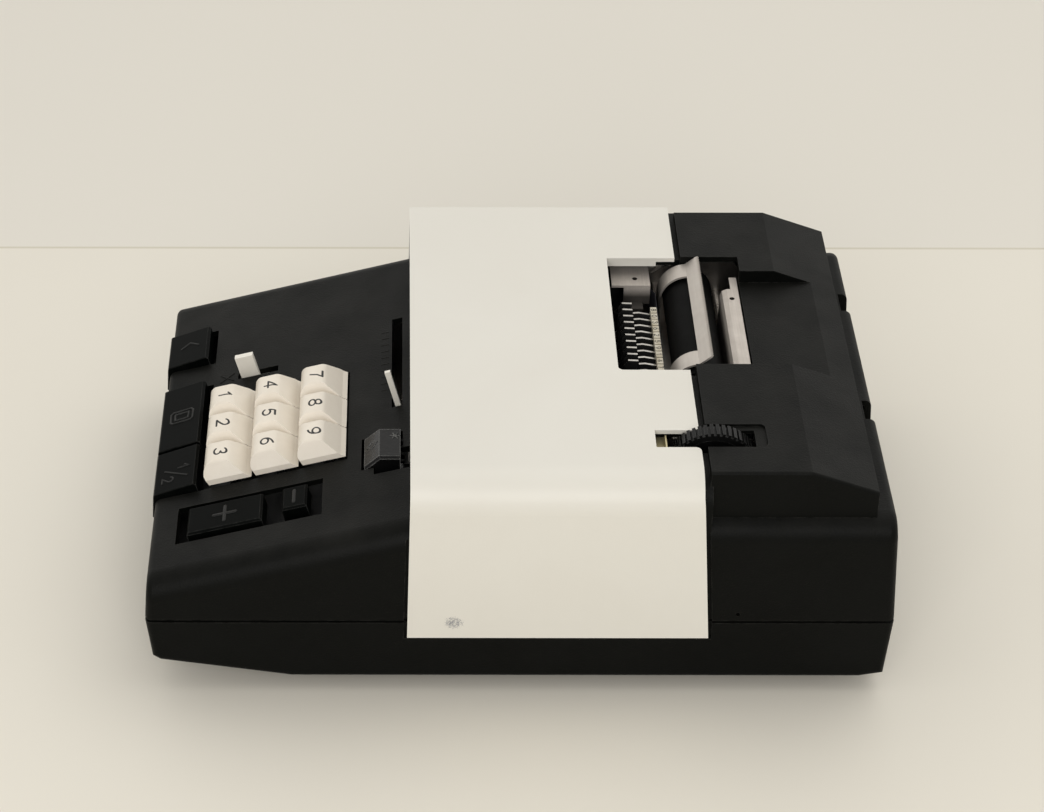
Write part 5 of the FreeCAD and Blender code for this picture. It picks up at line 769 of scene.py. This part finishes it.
# a black line raised 0.02 mm along the sloping face: painted shade standing in for the groove
strokePiece("total_shaded_groove", [uprightLine], facetPlace(totalKey["grooveX"]),
            (1.0, facetLong - totalKey["grooveShort"]), totalKey["grooveHalf"], totalKey["grooveRise"],
            totalKey["grooveSink"], "key_total", "inkAndGrooveShade")
starX, starY = totalKey["starSpot"]
starPaths = []
for angle in totalKey["starAngles"]:
    outX, outY = math.cos(math.radians(angle)) / 2, math.sin(math.radians(angle)) / 2
    starPaths.append(([(0.5 + outX, 0.5 + outY), (0.5 - outX, 0.5 - outY)], False))
strokePiece("total_star", starPaths, Matrix.Translation((starX * mm, starY * mm, totalKey["topZ"] * mm)),
            totalKey["starSize"], totalKey["starHalf"], totalKey["rise"], totalKey["sink"], "key_total",
            "keyGloss")
print("total key marked")


slugMarks = {"firstX": -34.9, "pitch": 4.5, "y": 57.35, "top": 89.7, "size": (1.5, 1.9), "half": 0.16,
             "rise": 0.06, "sink": 0.1, "digits": "8036259147"}
for i, digit in enumerate(slugMarks["digits"]):
    place = Matrix.Translation(((slugMarks["firstX"] + i * slugMarks["pitch"]) * mm, slugMarks["y"] * mm,
                                slugMarks["top"] * mm))
    strokePiece("slug_mark_%d" % i, numerals[digit], place, slugMarks["size"], slugMarks["half"],
                slugMarks["rise"], slugMarks["sink"], "type_set", "inkAndGrooveShade")
print("type drawn on the slugs")


floor = {"reach": 4.0, "colour": (0.768, 0.733, 0.652), "second": (0.755, 0.718, 0.637), "mottleScale": 6.0,
         "mottle": (0.3, 0.7), "roughness": (0.55, 0.65), "gloss": 0.3, "wall": (0.735, 0.704, 0.636),
         "seamX": -0.2213, "seamSoft": 0.0004,
         "line": (0.62, 0.58, 0.48), "lineHalf": 0.0011, "lineCore": 0.4}


def makeFloor():
    # a pale floor that turns to a slightly greyer backdrop past a thin seam
    material, tree, shader = newMaterial("paleFloor")
    where = tree.nodes.new("ShaderNodeTexCoord")
    mottle = addNode(tree, "ShaderNodeTexNoise", Scale=floor["mottleScale"], Detail=5.0, Roughness=0.55)
    tree.links.new(where.outputs["Object"], mottle.inputs["Vector"])
    parts = axisParts(tree)
    patches = spread(tree, mottle.outputs["Fac"], *floor["mottle"])
    plain = blendColour(tree, patches, floor["colour"], floor["second"])
    beyond = spread(tree, parts["X"], floor["seamX"] + floor["seamSoft"], floor["seamX"] - floor["seamSoft"])
    toned = blendColour(tree, beyond, plain, floor["wall"])
    offLine = calc(tree, "ABSOLUTE", calc(tree, "SUBTRACT", parts["X"], floor["seamX"]))
    onLine = spread(tree, offLine, floor["lineHalf"], floor["lineHalf"] * floor["lineCore"])
    tree.links.new(blendColour(tree, onLine, toned, floor["line"]), shader.inputs["Base Color"])
    rough = spread(tree, mottle.outputs["Fac"], *floor["mottle"], *floor["roughness"])
    tree.links.new(rough, shader.inputs["Roughness"])
    shader.inputs["Specular IOR Level"].default_value = floor["gloss"]
    return material


def buildFloor():
    reach = floor["reach"]
    mesh = bpy.data.meshes.new("floor")
    mesh.from_pydata([(-reach, -reach, 0), (reach, -reach, 0), (reach, reach, 0), (-reach, reach, 0)], [],
                     [(0, 1, 2, 3)])
    mesh.materials.append(makeFloor())
    plane = bpy.data.objects.new("floor", mesh)
    bpy.context.scene.collection.objects.link(plane)


view = {"at": (0.91693, -0.04496, 0.72914), "down": 35.85, "swing": -0.12, "lens": 97.30, "shift": 0.1201,
        "sensor": 36.0, "clip": (0.01, 50.0)}


def buildCamera():
    # the photo's own place, height and lens
    down, swing = math.radians(view["down"]), math.radians(view["swing"])
    look = Vector((-math.cos(down) * math.cos(swing), math.cos(down) * math.sin(swing), -math.sin(down)))
    data = bpy.data.cameras.new("camera")
    data.sensor_width = view["sensor"]
    data.lens = view["lens"]
    data.shift_x = view["shift"]
    data.clip_start, data.clip_end = view["clip"]
    camera = bpy.data.objects.new("camera", data)
    camera.location = view["at"]
    camera.rotation_mode = "QUATERNION"
    camera.rotation_quaternion = look.to_track_quat("-Z", "Y")
    bpy.context.scene.collection.objects.link(camera)
    bpy.context.scene.camera = camera


lamps = {
    "overhead": {"at": (-0.35, 0.55, 1.6), "aim": (0.0, 0.0, 0.03), "across": (1.4, 1.4), "power": 4.0,
                 "colour": (1.0, 0.98, 0.94)},
    "fill": {"at": (1.8, -0.2, 1.0), "aim": (0.0, 0.0, 0.05), "across": (1.6, 1.2), "power": 18.0,
             "colour": (1.0, 0.98, 0.96)},
}
room = {"colour": (0.93, 0.915, 0.88), "far": 1.12, "near": 0.50, "span": (-0.8, 0.8)}


def addLamp(name, at, aim, across, power, colour):
    data = bpy.data.lights.new(name, "AREA")
    data.shape = "RECTANGLE"
    data.size, data.size_y = across
    data.energy = power
    data.color = colour
    lamp = bpy.data.objects.new(name, data)
    lamp.location = at
    lamp.rotation_mode = "QUATERNION"
    lamp.rotation_quaternion = (Vector(aim) - Vector(at)).to_track_quat("-Z", "Y")
    bpy.context.scene.collection.objects.link(lamp)


def buildLight():
    # two broad lamps in a pale room that is brighter beyond the machine and darker behind the camera
    for name, lamp in lamps.items():
        addLamp(name, lamp["at"], lamp["aim"], lamp["across"], lamp["power"], lamp["colour"])
    world = bpy.data.worlds.new("room")
    world.use_nodes = True
    tree = world.node_tree
    background = tree.nodes["Background"]
    background.inputs["Color"].default_value = (*room["colour"], 1.0)
    parts = axisParts(tree, "Generated")
    tree.links.new(spread(tree, parts["X"], *room["span"], room["far"], room["near"]),
                   background.inputs["Strength"])
    bpy.context.scene.world = world


buildFloor()
buildCamera()
buildLight()
bpy.context.scene.view_settings.view_transform = "Standard"
print("floor, camera and light placed")
